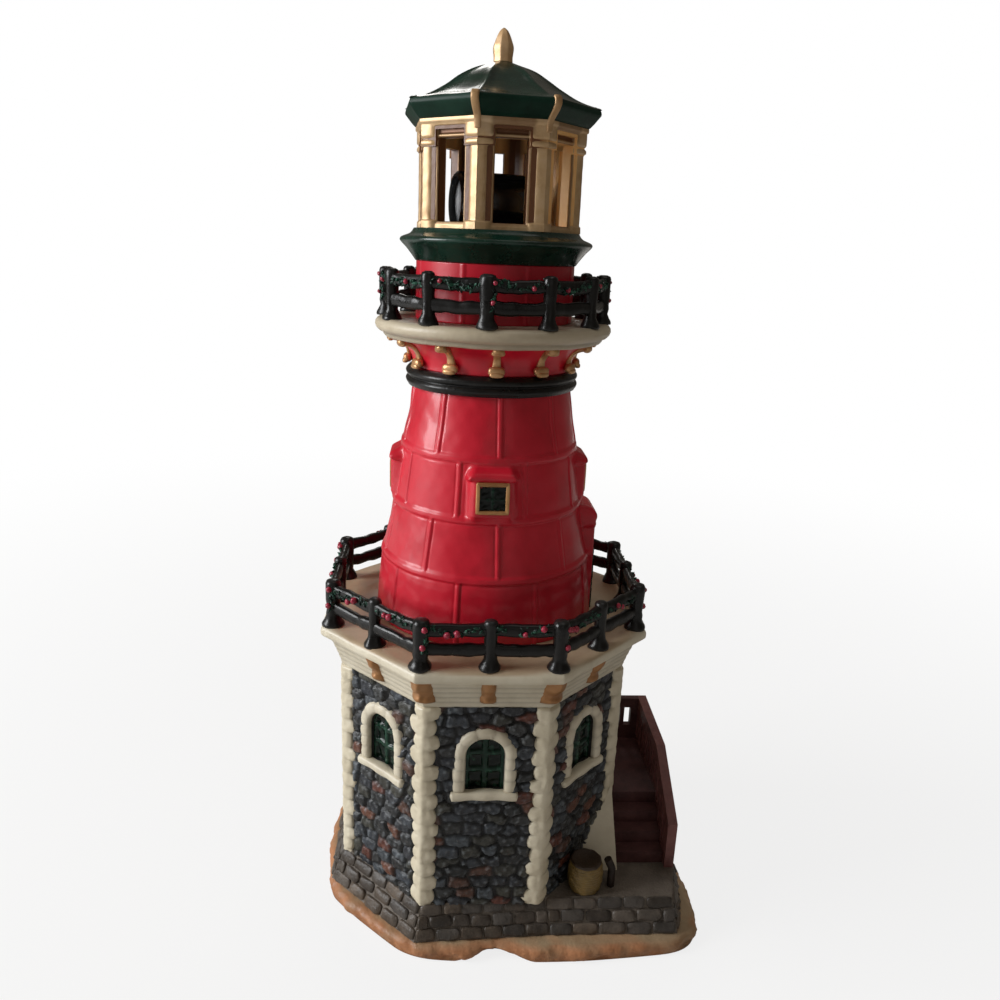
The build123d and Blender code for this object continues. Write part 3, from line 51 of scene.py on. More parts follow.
UP = np.array((0.0, 0.0, 1.0))
WAVE_COUNT = 10
DOOR_FACE = 2
WINDOW_FACES = [i for i in range(SIDES) if i != DOOR_FACE]


def low(node):
    return np.array(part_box(node)[0]) / MM


def high(node):
    return np.array(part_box(node)[1]) / MM


def tops(*nodes):
    return [high(node)[2] for node in nodes]


# Levels and reaches read from the frame
SLAB_TOP, PLINTH_TOP, WALL_TOP, DECK_TOP = tops("sand_base", "brick_plinth", "stone_wall", "deck_slab")
TOWER_TOP, COLLAR_TOP, NECK_TOP, GALLERY_TOP = tops(
    "red_tower", "tower_collar", "gallery_neck", "gallery_slab")
DRUM_TOP, SILL_TOP, CAGE_TOP, FINIAL_TOP = tops("lantern_drum", "lantern_sill", "lantern_cage", "finial")
LANDING_TOP = high("stair_flight")[2]
ROOF_TOP = low("finial")[2]
WINDOW_LOW = low("window_panes")[2]
WALL = high("stone_wall")[1]
DECK = high("deck_slab")[1]
GALLERY = high("gallery_slab")[1]
DRUM = high("lantern_drum")[1]


# Small vector helpers
def direction(angle):
    return np.array((cos(radians(angle)), sin(radians(angle)), 0.0))


def face_angle(i):
    return -90.0 + STEP * i


def from_mark(angles, turn, step):
    """Angle from the nearest of the marks that lie a step apart, one of them at turn, in degrees."""
    return np.mod(angles - turn + step / 2, step) - step / 2


def smooth(x, start, end):
    t = np.clip((np.asarray(x, float) - start) / (end - start), 0.0, 1.0)
    return t * t * (3 - 2 * t)


def plateau(x, half, soft):
    """1 within half of the middle and 0 beyond it, with a soft edge."""
    return smooth(half - np.abs(x), -soft, soft)


def ridge(x, half, power=4):
    """A round hump over the middle; a higher power makes its top flatter."""
    return np.exp(-(x / half) ** power)


def dome(x, power):
    """Half of a rounded square's outline, from 1 in the middle to 0 at 1."""
    return np.clip(1 - x ** power, 0, 1) ** 0.5


def waves(points, size, seed):
    """Smooth wandering values of about -1 to 1, with bumps of about the given size."""
    draw = np.random.default_rng(seed)
    k = draw.normal(size=(3, WAVE_COUNT))
    k *= draw.uniform(0.6, 1.6, WAVE_COUNT) * 2 * pi / size / np.linalg.norm(k, axis=0)
    turns = np.asarray(points, float) @ k + draw.uniform(0, 2 * pi, WAVE_COUNT)
    return np.sin(turns).sum(-1) / sqrt(WAVE_COUNT / 2) * 0.7


def wall_waves(x, z, shift, size, seed):
    """The same waves over a wall; shift gives each wall its own part of them."""
    return waves(np.stack([x, z, 0 * x + shift], -1), size, seed)


def wash(share, colour):
    """A colour weighted by a share at each point."""
    return share[..., None] * np.array(colour)


def polar(angles, radius, z):
    """Points around the tower's axis, at angles in radians."""
    return np.stack(np.broadcast_arrays(radius * np.cos(angles), radius * np.sin(angles), z), -1)


def lifted(points, level):
    """Profile points with their heights counted from a level."""
    return [(reach, level + z) for reach, z in points]


def add_object(name, data):
    made = bpy.data.objects.new(name, data)
    bpy.context.scene.collection.objects.link(made)
    return made


class Shape:
    """Collects vertices in millimetres, faces and a tint for each vertex."""

    def __init__(self):
        self.verts, self.faces, self.tints, self.count = [], [], [], 0

    def add(self, verts, faces, tint=(1, 1, 1)):
        verts = np.asarray(verts, float).reshape(-1, 3)
        tint = np.asarray(tint, float).reshape(-1, 3)
        self.verts.append(verts)
        self.faces += [tuple(int(i) + self.count for i in face) for face in faces]
        self.tints.append(np.broadcast_to(tint, verts.shape))
        self.count += len(verts)

    def piece(self, name, material, slot, replaces=()):
        mesh = bpy.data.meshes.new(name)
        mesh.from_pydata((np.concatenate(self.verts) * MM).tolist(), [], self.faces)
        layer = mesh.color_attributes.new("tint", "FLOAT_COLOR", "POINT")
        tint = np.concatenate(self.tints)
        layer.data.foreach_set("color", np.hstack([tint, np.ones((len(tint), 1))]).ravel())
        mesh.polygons.foreach_set("use_smooth", [True] * len(mesh.polygons))
        mesh.validate()
        mesh.update()
        mesh.materials.append(material)
        piece = add_object(name, mesh)
        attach(piece, "lighthouse")
        if replaces:
            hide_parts(*replaces)


def add_piece(form, name, material, slot, replaces=(), tint=(1, 1, 1)):
    """One form, its vertices and faces, as a piece of its own."""
    shape = Shape()
    shape.add(*form, tint)
    shape.piece(name, material, slot, replaces)


def net(rows, cols, around=False, along=False):
    """Quads of a grid of vertices, closed across its columns or its rows where asked."""
    r = np.arange(rows if along else rows - 1)
    c = np.arange(cols if around else cols - 1)
    r, c = np.meshgrid(r, c, indexing="ij")
    r2, c2 = (r + 1) % rows, (c + 1) % cols
    return np.stack([r * cols + c, r * cols + c2, r2 * cols + c2, r2 * cols + c], -1).reshape(-1, 4)


def lathe(profile, segments, centre=(0.0, 0.0), ripple=None):
    """Verts and faces of a turned form. ripple(angle, z) gives an extra radius."""
    profile = np.asarray(profile, float)
    angles = np.linspace(0, 2 * pi, segments, endpoint=False)
    a, r = np.meshgrid(angles, profile[:, 0])
    z = np.repeat(profile[:, 1:2], segments, 1)
    if ripple:
        r = np.where(r > 1e-6, r + ripple(a, z), r)
    return polar(a, r, z) + (*centre, 0.0), net(len(profile), segments, around=True)


def curve(points, count):
    """A smooth line through the points, as that many places along it."""
    p = np.asarray(points, float)
    p = np.vstack([2 * p[0] - p[1], p, 2 * p[-1] - p[-2]])
    t = np.linspace(0, len(p) - 3 - 1e-9, count)
    i = t.astype(int)
    u = (t - i)[:, None]
    a, b, c, d = p[i], p[i + 1], p[i + 2], p[i + 3]
    line = 2 * b + (c - a) * u + (2 * a - 5 * b + 4 * c - d) * u ** 2
    return 0.5 * (line + (3 * b - a - 3 * c + d) * u ** 3)


def sweep(path, section, up, scale):
    """A closed section carried along a path, with domed ends."""
    path = np.asarray(path, float)
    section = np.asarray(section, float)
    tangent = np.gradient(path, axis=0)
    tangent /= np.linalg.norm(tangent, axis=1)[:, None]
    side = np.cross(tangent, np.broadcast_to(np.asarray(up, float), path.shape))
    side /= np.linalg.norm(side, axis=1)[:, None]
    lift = np.cross(side, tangent)
    scale = np.asarray(scale, float)
    rings = path[:, None] + scale[:, None, None] * (
        section[None, :, :1] * side[:, None] + section[None, :, 1:] * lift[:, None])
    n, m = len(path), len(section)
    reach = np.abs(section).max() * 0.35
    ends = np.array([path[0] - tangent[0] * reach * scale[0], path[-1] + tangent[-1] * reach * scale[-1]])
    faces = [tuple(f) for f in net(n, m, around=True)]
    faces += [(n * m, (i + 1) % m, i) for i in range(m)]
    faces += [(n * m + 1, (n - 1) * m + i, (n - 1) * m + (i + 1) % m) for i in range(m)]
    return np.vstack([rings.reshape(-1, 3), ends]), faces


def soft_sign(x, power):
    return np.sign(x) * np.abs(x) ** power


def oval(width, height, count, power):
    """A rounded section: power 1 is an ellipse, smaller is squarer."""
    a = np.linspace(0, 2 * pi, count, endpoint=False)
    return np.stack([soft_sign(np.cos(a), power) * width / 2, soft_sign(np.sin(a), power) * height / 2], -1)


def block(centre, sizes, axes=np.eye(3), power=1.0, rows=9, cols=16):
    """A soft-edged block: power 1 is a ball, smaller is squarer."""
    v = np.linspace(-pi / 2, pi / 2, rows)[:, None]
    u = np.linspace(0, 2 * pi, cols, endpoint=False)[None]
    ring = soft_sign(np.cos(v), power)
    x, y = ring * soft_sign(np.cos(u), power), ring * soft_sign(np.sin(u), power)
    local = np.stack(np.broadcast_arrays(x, y, soft_sign(np.sin(v), power)), -1).reshape(-1, 3)
    verts = np.asarray(centre) + (local * np.asarray(sizes) / 2) @ np.asarray(axes)
    return verts, net(rows, cols, around=True)


def wall_axes(angle):
    """Rows: to the right along a wall, outwards, up."""
    out = direction(angle)
    return np.array([np.cross(UP, out), out, UP])


def on_wall(angle, reach, x, z, proud):
    """Points of a wall: x to the right, z up and proud outwards, for the wall at that angle and reach."""
    right, out, up = wall_axes(angle)
    x, z, proud = np.broadcast_arrays(x, z, proud)
    return out * (reach + proud[..., None]) + right * x[..., None] + up * z[..., None]


def octagon_radius(angles, apothem, turn, corner):
    """Distance from the axis to an octagon with rounded corners, at angles in degrees."""
    off = from_mark(np.asarray(angles), turn, STEP)
    flat = apothem / np.cos(np.radians(off))
    from_corner = np.radians(HALF - np.abs(off))
    centre = (apothem - corner) / FLAT
    reach = np.arctan2(corner * sin(radians(HALF)), centre + corner * FLAT)
    inside = np.clip(corner ** 2 - (centre * np.sin(from_corner)) ** 2, 0, None)
    arc = centre * np.cos(from_corner) + np.sqrt(inside)
    return np.where(from_corner < reach, arc, flat)


def octagon_angles(per_side):
    """Angles around an octagon that are closer together near its corners."""
    t = np.linspace(-1, 1, per_side, endpoint=False)
    off = np.sign(t) * (1 - (1 - np.abs(t)) ** 2) * HALF
    return (np.arange(SIDES)[:, None] * STEP + off[None]).ravel()


def octagon_lathe(profile, per_side, turn=0.0, corner=0.6, ripple=None):
    """A form with an octagonal plan. Profile points are (apothem, z), or (apothem, z, corner rounding)."""
    angles = octagon_angles(per_side) + turn
    rings = []
    for entry in profile:
        apothem, z = entry[:2]
        rounding = entry[2] if len(entry) > 2 else corner
        r = octagon_radius(angles, apothem, turn, min(rounding, 0.9 * apothem))
        if ripple:
            r = r + ripple(angles, apothem, z)
        rings.append(polar(np.radians(angles), r, z))
    return np.array(rings), net(len(rings), len(angles), around=True)


# Shader nodes
def add_node(tree, kind, inputs=None, **settings):
    """A node with its settings. Each input is a constant, or a socket to link from."""
    node = tree.nodes.new(kind)
    for name, value in settings.items():
        setattr(node, name, value)
    feed(tree, node, inputs or {})
    return node


def feed(tree, node, inputs):
    for name, value in inputs.items():
        if isinstance(value, bpy.types.NodeSocket):
            tree.links.new(value, node.inputs[name])
        else:
            node.inputs[name].default_value = value


def map_range(tree, value, start, end, first=0.0, last=1.0, **settings):
    """A value carried from one range to another."""
    inputs = {"Value": value, "From Min": start, "From Max": end, "To Min": first, "To Max": last}
    return add_node(tree, "ShaderNodeMapRange", inputs, **settings).outputs["Result"]


def combine(tree, operation, a, b):
    return add_node(tree, "ShaderNodeMath", {0: a, 1: b}, operation=operation).outputs["Value"]


def mix_colours(tree, factor, a, b, blend="MIX"):
    inputs = {"Factor": factor, "A": a, "B": b}
    return add_node(tree, "ShaderNodeMix", inputs, data_type="RGBA", blend_type=blend).outputs["Result"]


def distance(tree, vector, counted):
    """Distance from an axis or a point: counted is 1 for each direction that counts."""
    across = add_node(tree, "ShaderNodeVectorMath", {0: vector, 1: counted}, operation="MULTIPLY")
    length = add_node(tree, "ShaderNodeVectorMath", {0: across.outputs["Vector"]}, operation="LENGTH")
    return length.outputs["Value"]


def multiply_base(tree, factor, by):
    """Multiplies the paint's colour by another."""
    shader = tree.nodes["Principled BSDF"]
    base = shader.inputs["Base Color"].links[0].from_socket
    feed(tree, shader, {"Base Color": mix_colours(tree, factor, base, by, "MULTIPLY")})


# Materials
WORN_EDGE = (0.52, 0.62)
RAMP_START, RAMP_SPAN = 0.28, 0.44


def paint(name, shades, size, rough, bump, grain, metallic=0.0, coat=0.0, coat_rough=0.1, specular=0.5,
          tinted=False, worn=None, streaks=(1, 1, 1)):
    """Brushed paint or glaze: mottled shades, fine bumps, varied gloss, and worn edges where asked."""
    material = bpy.data.materials.new(name)
    material.use_nodes = True
    tree = material.node_tree
    place = add_node(tree, "ShaderNodeTexCoord").outputs["Object"]
    place = add_node(tree, "ShaderNodeMapping", {"Scale": streaks, "Vector": place}).outputs["Vector"]
    inputs = {"Scale": 1 / (size * MM), "Detail": 7, "Roughness": 0.62, "Vector": place}
    mottle = add_node(tree, "ShaderNodeTexNoise", inputs).outputs["Fac"]
    ramp = add_node(tree, "ShaderNodeValToRGB", {"Fac": mottle})
    while len(ramp.color_ramp.elements) < len(shades):
        ramp.color_ramp.elements.new(0.5)
    for i, shade in enumerate(shades):
        ramp.color_ramp.elements[i].position = RAMP_START + RAMP_SPAN * i / max(1, len(shades) - 1)
        ramp.color_ramp.elements[i].color = (*shade, 1)
    colour = ramp.outputs["Color"]
    if tinted:
        tint = add_node(tree, "ShaderNodeVertexColor", layer_name="tint").outputs["Color"]
        colour = mix_colours(tree, 1, tint, colour, "MULTIPLY")
    if worn:
        edge = map_range(tree, add_node(tree, "ShaderNodeNewGeometry").outputs["Pointiness"], *WORN_EDGE)
        colour = mix_colours(tree, combine(tree, "MULTIPLY", edge, mottle), colour, (*worn, 1))
    inputs = {"Scale": 1 / (grain * MM), "Detail": 5, "Vector": place}
    fine = add_node(tree, "ShaderNodeTexNoise", inputs).outputs["Fac"]
    relief = add_node(tree, "ShaderNodeBump", {"Strength": bump, "Distance": 0.6 * MM, "Height": fine})
    feed(tree, tree.nodes["Principled BSDF"], {
        "Base Color": colour, "Roughness": map_range(tree, mottle, 0.3, 0.7, *rough),
        "Normal": relief.outputs["Normal"], "Metallic": metallic, "Specular IOR Level": specular,
        "Coat Weight": coat, "Coat Roughness": coat_rough})
    return material


sand = paint("sand_paint", [(0.8, 0.74, 0.68), (1.0, 1.0, 1.0), (1.2, 1.2, 1.2)], 9, (0.42, 0.65), 0.3, 0.8,
             tinted=True)
brick = paint("brick_paint", [(0.6, 0.58, 0.56), (1.0, 1.0, 1.0), (1.35, 1.32, 1.28)], 3, (0.3, 0.5), 0.35,
              0.6, tinted=True, worn=(0.22, 0.19, 0.16), specular=0.4)
terrace = paint("terrace_paint", [(0.08, 0.064, 0.05), (0.135, 0.11, 0.088), (0.18, 0.15, 0.122)], 6,
                (0.42, 0.62), 0.4, 0.8)
mortar = paint("mortar_paint", [(0.010, 0.009, 0.008), (0.022, 0.020, 0.018)], 3, (0.6, 0.8), 0.4, 0.6)
stone = paint("stone_paint", [(0.55, 0.54, 0.53), (1.0, 1.0, 1.0), (1.5, 1.5, 1.48)], 2.2, (0.24, 0.45), 0.35,
              0.5, tinted=True, worn=(0.20, 0.22, 0.24), specular=0.42)
cream = paint("cream_paint", [(0.60, 0.525, 0.39), (0.72, 0.645, 0.495), (0.78, 0.71, 0.565)], 9,
              (0.36, 0.52), 0.16, 1.0, coat=0.1, coat_rough=0.3, tinted=True)
green = paint("green_glaze", [(0.003, 0.014, 0.008), (0.006, 0.029, 0.018), (0.010, 0.043, 0.028)], 9,
              (0.2, 0.34), 0.12, 1.6, coat=0.2, coat_rough=0.12, specular=0.4, worn=(0.02, 0.075, 0.05))
pane = paint("pane_glaze", [(0.7, 0.7, 0.7), (1.0, 1.0, 1.0), (1.3, 1.3, 1.3)], 3, (0.12, 0.26), 0.15, 0.9,
             coat=0.1, coat_rough=0.06, specular=0.22, tinted=True)
maroon = paint("maroon_paint", [(0.115, 0.042, 0.039), (0.215, 0.083, 0.077), (0.285, 0.120, 0.110)], 7,
               (0.34, 0.55), 0.25, 0.9, specular=0.35)
# Darker copy of the maroon paint for the steps and the landing rail: painted shade where the house shades the
# stair.
maroon_shaded = paint("maroon_steps_shaded", [(0.044, 0.017, 0.016), (0.090, 0.036, 0.035), (0.135, 0.056, 0.053)], 7,
                    (0.4, 0.6), 0.25, 0.9, specular=0.3)
straw = paint("straw_paint", [(0.7, 0.7, 0.66), (1.0, 1.0, 1.0), (1.25, 1.2, 1.1)], 4, (0.35, 0.55), 0.3, 0.6,
              tinted=True)
brown = paint("brown_paint", [(0.014, 0.008, 0.006), (0.030, 0.018, 0.012)], 5, (0.4, 0.6), 0.25, 0.8,
              specular=0.3)
black = paint("black_gloss", [(0.0025, 0.0023, 0.0022), (0.006, 0.0055, 0.0052), (0.010, 0.0095, 0.009)], 6,
              (0.24, 0.4), 0.18, 1.1, coat=0.12, coat_rough=0.14, specular=0.3, worn=(0.03, 0.03, 0.03))
leaf = paint("garland_paint", [(0.5, 0.5, 0.5), (1.0, 1.0, 1.0), (1.6, 1.6, 1.6)], 2.5, (0.3, 0.5), 0.2, 0.6,
             specular=0.35, tinted=True)
berry = paint("berry_paint", [(0.25, 0.008, 0.026), (0.38, 0.018, 0.050), (0.50, 0.05, 0.09)], 1.6,
              (0.25, 0.4), 0.1, 0.5, coat=0.2)
roof_green = paint("roof_glaze", [(0.003, 0.014, 0.008), (0.006, 0.028, 0.017), (0.009, 0.040, 0.026)], 9,
                   (0.2, 0.3), 0.05, 1.8, coat=0.25, coat_rough=0.16, specular=0.4, worn=(0.02, 0.075, 0.05))
eave_green = paint("eave_glaze", [(0.003, 0.014, 0.008), (0.006, 0.028, 0.017), (0.009, 0.038, 0.024)], 9,
                   (0.32, 0.45), 0.08, 1.8, specular=0.12)
red = paint("red_glaze", [(0.50, 0.004, 0.018), (0.62, 0.006, 0.025), (0.70, 0.010, 0.033)], 14, (0.34, 0.46),
            0.06, 2.0, coat=0.25, coat_rough=0.1, specular=0.45)
gold = paint("gold_paint", [(0.44, 0.26, 0.12), (0.60, 0.40, 0.21), (0.68, 0.49, 0.30)], 6, (0.34, 0.46),
             0.06, 1.2, metallic=0.35, tinted=True)
gold_leaf = paint("gold_leaf", [(0.42, 0.23, 0.10), (0.60, 0.38, 0.20), (0.72, 0.50, 0.30)], 3, (0.26, 0.4),
                  0.1, 1.0, metallic=0.5, tinted=True)
# Inside of the cage: a warm paint brighter than the gold, as painted lamp light on its inner walls.
amber = paint("amber_lamplit_paint", [(0.90, 0.45, 0.14), (1.0, 0.60, 0.24)], 5, (0.35, 0.5), 0.2, 1.0)
beacon_black = paint("beacon_black", [(0.006, 0.006, 0.007), (0.012, 0.012, 0.013)], 6, (0.14, 0.26), 0.05,
                     1.0, coat=0.6)
chrome = paint("reflector_chrome", [(0.70, 0.70, 0.72), (0.82, 0.82, 0.83)], 3, (0.05, 0.14), 0.03, 0.8,
               metallic=1.0)
plastic_black = paint("plastic_black", [(0.016, 0.016, 0.017), (0.028, 0.028, 0.029)], 4, (0.45, 0.62), 0.25,
                      0.25)
plastic_white = paint("plastic_white", [(0.66, 0.66, 0.63), (0.78, 0.78, 0.75)], 5, (0.35, 0.5), 0.12, 0.3)
steel = paint("steel", [(0.42, 0.42, 0.43), (0.6, 0.6, 0.6)], 2, (0.25, 0.42), 0.15, 0.4, metallic=1.0,
              streaks=(1, 1, 6))
cell_sleeve = paint("cell_sleeve", [(0.035, 0.045, 0.09), (0.06, 0.07, 0.13)], 6, (0.25, 0.4), 0.06, 0.5,
                    metallic=0.4)
board = paint("board_mask", [(0.008, 0.06, 0.022), (0.016, 0.10, 0.038)], 4, (0.3, 0.45), 0.1, 0.4)
lamp = paint("lamp_resin", [(0.78, 0.72, 0.52), (0.88, 0.84, 0.68)], 2, (0.15, 0.3), 0.05, 0.5, coat=0.4)
wire = paint("wire_sleeve", [(0.18, 0.01, 0.01), (0.28, 0.02, 0.02)], 3, (0.45, 0.6), 0.1, 0.4)
# Pale greys of the lens, kept in the middle of the barrel's mouth, are a painted reflection of the reflector
# behind it.
lens = paint("lens_glass", [(0.30, 0.30, 0.31), (0.75, 0.76, 0.78)], 1.4, (0.05, 0.12), 0.3, 0.9, coat=0.6,
             coat_rough=0.04)
BEACON_LEVEL, BEACON_TURN = 199.3, 194.0
LENS_REFLECTION_RADIUS, LENS_SHADE_RADIUS, LENS_RIM_SHADE = 1.2, 5.2, 0.2
# Where the jambs turn to painted shade, and where the inside keeps its painted lamp light on the right.
JAMB_START, JAMB_END, JAMB_SHADE_COLOUR = 16.8, 17.5, (0.16, 0.10, 0.07, 1)
LAMPLIT_FROM, SHADE_FROM = 12, 8


def paint_lens_reflection():
    """Clear lens over a reflector: a painted reflection of the reflector makes it pale in the middle of the
    barrel's mouth, and painted shade dims it at its rim.
    """
    tree = lens.node_tree
    inputs = {"Vector": add_node(tree, "ShaderNodeTexCoord").outputs["Object"],
              "Location": (0, 0, BEACON_LEVEL * MM), "Rotation": (0, 0, radians(BEACON_TURN))}
    along = add_node(tree, "ShaderNodeMapping", inputs, vector_type="TEXTURE")
    radius = distance(tree, along.outputs["Vector"], (0, 1, 1))
    multiply_base(tree, 1, map_range(tree, radius, LENS_REFLECTION_RADIUS * MM, LENS_SHADE_RADIUS * MM, 1.0, LENS_RIM_SHADE))
    feed(tree, tree.nodes["Principled BSDF"], {"Transmission Weight": 0.25, "IOR": 1.49})


def paint_jamb_shade():
    """Painted shade on the jambs: the paint darkens to brown away from the lantern's axis, and keeps its
    painted lamp light on the right.
    """
    tree = amber.node_tree
    place = add_node(tree, "ShaderNodeTexCoord").outputs["Object"]
    outer = map_range(tree, distance(tree, place, (1, 1, 0)), JAMB_START * MM, JAMB_END * MM)
    aside = add_node(tree, "ShaderNodeSeparateXYZ", {"Vector": place}).outputs["X"]
    left = map_range(tree, aside, LAMPLIT_FROM * MM, SHADE_FROM * MM)
    multiply_base(tree, combine(tree, "MULTIPLY", outer, left), JAMB_SHADE_COLOUR)


paint_lens_reflection()
paint_jamb_shade()
CAD_FINISH = {
    "brick_plinth": terrace, "stone_wall": mortar, "house_door": green, "stair_flight": maroon_shaded,
    "stair_parapet": maroon, "landing_rail": maroon_shaded, "mooring_hook": brown, "lantern_cage": amber,
    "mechanism_plate": plastic_black, "plate_screws": steel, "gear_motor": steel, "lamp_post": plastic_black,
    "beacon_lamp": lamp, "wiring_harness": wire, "bottom_cover": plastic_black, "cover_screws": steel,
    "battery_tray": plastic_black, "battery_cells": cell_sleeve, "battery_contacts": steel,
    "switch_body": plastic_black, "circuit_board": board, "room_lamps": lamp, "beacon_gear": plastic_white,
    "beacon_barrel": beacon_black, "beacon_reflectors": chrome, "beacon_lenses": lens,
    "motor_pinion": plastic_white, "battery_door": plastic_black, "switch_knob": plastic_white,
    "stair_wing": cream,
}
EDGE_ROUNDING = {
    "stair_flight": 0.5, "stair_parapet": 0.6, "landing_rail": 0.5, "lantern_cage": 0.2, "stair_wing": 0.4,
    "beacon_barrel": 0.2, "brick_plinth": 0.5, "house_door": 0.3, "battery_door": 0.15, "bottom_cover": 0.15,
    "switch_knob": 0.15,
}


def finish_cad_nodes():
    for name, material in CAD_FINISH.items():
        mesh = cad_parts[name].data
        mesh.materials.clear()
        mesh.materials.append(material)
        if material == cream:
            layer = mesh.color_attributes.new("tint", "FLOAT_COLOR", "POINT")
            layer.data.foreach_set("color", [1.0] * (4 * len(mesh.vertices)))
    for name, width in EDGE_ROUNDING.items():
        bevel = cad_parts[name].modifiers.new("soft_edges", "BEVEL")
        bevel.width = width * MM
        bevel.segments = 3
        bevel.limit_method = "ANGLE"
        bevel.angle_limit = radians(30)
        bevel.harden_normals = True


# Base slab: an irregular outline with a lumpy rounded rim and an arched notch in front.
SLAB_OUTLINE = [
    (-46.0, -19.0), (-38.7, -27.8), (-27.7, -38.4), (-20.9, -44.5), (-10.7, -47.1), (23.7, -48.1),
    (45.3, -46.4), (58.4, -44.9), (64.0, -38.8), (64.8, -29.0), (63.6, -10.0), (64.4, 12.0), (60.0, 28.0),
    (45.0, 33.0), (33.0, 40.5), (20.0, 47.0), (-4.0, 48.2), (-21.0, 45.5), (-37.5, 32.5), (-47.0, 17.0),
]
SLAB_RIM = [(3.2, 4.0), (1.5, 3.8), (0.5, 3.2), (0.05, 2.3), (0.1, 1.4), (0.35, 0.7), (0.8, 0.0), (3.4, 0.0)]
SLAB_OPENING = 37.8
SLAB_BROWN, SLAB_PALE = (0.45, 0.195, 0.085), (0.40, 0.285, 0.17)
# Share of pale tan on each ring from the top: the slab's two-tone paint, with painted light on the upward
# faces.
LEDGE_WASH_AND_LIGHT = (1.0, 0.8, 0.35, 0.12, 0.02, 0.0, 0.0, 0.0, 0.0, 0.0)
NOTCH_X, NOTCH_HALF, NOTCH_HEIGHT, NOTCH_DEPTH = 4.5, 12.0, 3.1, 2.2


def slab_reach(angles):
    """Distance from the axis to the slab's rounded outline, at angles in radians."""
    points = np.array(SLAB_OUTLINE)
    for _ in range(3):
        after = np.roll(points, -1, 0)
        points = np.stack([0.75 * points + 0.25 * after, 0.25 * points + 0.75 * after], 1).reshape(-1, 2)
    turn = np.arctan2(points[:, 1], points[:, 0])
    order = np.argsort(turn)
    return np.interp(angles, turn[order], np.hypot(*points.T)[order], period=2 * pi)


def make_slab():
    angles = np.linspace(-pi, pi, 540, endpoint=False)
    reach = slab_reach(angles)
    inner = octagon_radius(np.degrees(angles), SLAB_OPENING, 0, 0.5)
    edge = polar(angles, reach, 0.0)
    notch = (1 - smooth(np.abs(edge[:, 0] - NOTCH_X), 0.0, NOTCH_HALF)) * (edge[:, 1] < -40)
    lift = NOTCH_HEIGHT * notch
    lift = np.where(lift > 0.05, np.minimum(lift, 3.0), 0.0)
    reach = reach - NOTCH_DEPTH * notch
    verts = [polar(angles, inner, 4.0)]
    for n, (inset, z) in enumerate(SLAB_RIM, 1):
        radius = reach - inset
        point = polar(angles, radius, np.maximum(z, lift) if n < 8 else z)
        if 1 < n < 7:
            wander = waves(point, 9.0, 3) * 0.5 + waves(point, 3.2, 4) * 0.2 - 0.4
            point += polar(angles, wander, 0.0)
        verts.append(point)
    verts = np.array(verts + [polar(angles, inner, 0.0)])
    # Pale tan on the upper rings is partly paint and partly painted light; the slab also turns paler towards
    # the right (+x) as painted light.
    pale_and_lit = np.array(LEDGE_WASH_AND_LIGHT)[:, None] + 0.22 * waves(verts, 7.0, 6) + 0.5 * smooth(verts[..., 0], 44, 58)
    pale = np.clip(pale_and_lit, 0, 1)
    tint = wash(1 - pale, SLAB_BROWN) + wash(pale, SLAB_PALE)
    faces = net(*pale.shape, around=True, along=True)
    add_piece((verts, faces), "sand_slab", sand, "sand", ["sand_base"], tint)


# Plinth bricks: a relief on each sloping side, with rounded bricks in three courses.
BATTER = 4.1
LEDGE = 0.7
TERRACE_CUT, CORNER_IN, CORNER_BACK, SIDE_BATTER = 4.5, 3.6, 12.6, 1.4
TERRACE_FRONT, TERRACE_BACK = 37.6, 25.0
BRICK_COURSES, BRICK_LENGTH = 3, 6.7
BRICK_SHADES = np.array([(0.060, 0.047, 0.037), (0.082, 0.066, 0.053), (0.105, 0.086, 0.070),
                         (0.072, 0.062, 0.054), (0.092, 0.070, 0.052)])


def octagon_corner(apothem, i):
    return direction(HALF + STEP * i)[:2] * apothem / FLAT


def plinth_outline(grow):
    apothem = WALL + LEDGE + grow
    front, back = TERRACE_FRONT + grow, TERRACE_BACK + grow
    right = high("brick_plinth")[0] - SIDE_BATTER + grow * SIDE_BATTER / BATTER
    slant = apothem * sqrt(2)
    corners = [octagon_corner(apothem, i) for i in (1, 2, 3, 4)]
    return np.array([octagon_corner(apothem, 5), (slant - front, -front), (right - CORNER_IN, -front),
                     (right, CORNER_BACK - front), (right, back - TERRACE_CUT), (right - TERRACE_CUT, back),
                     (slant - back, back), *corners])


def brick_joints(count, shifted, draw):
    """Where the upright joints of a course lie, from 0 to 1 along its side."""
    joints = (np.arange(count + 1) + (0.5 if shifted else 0.0)) / count
    joints[1:-1] += draw.uniform(-0.12, 0.12, max(0, count - 1)) / count
    joints = np.clip(np.concatenate([[0.0], joints[joints > 0.02]]), 0, 1)
    joints = joints[:np.searchsorted(joints, 0.99) + 1]
    joints[-1] = 1.0
    return joints


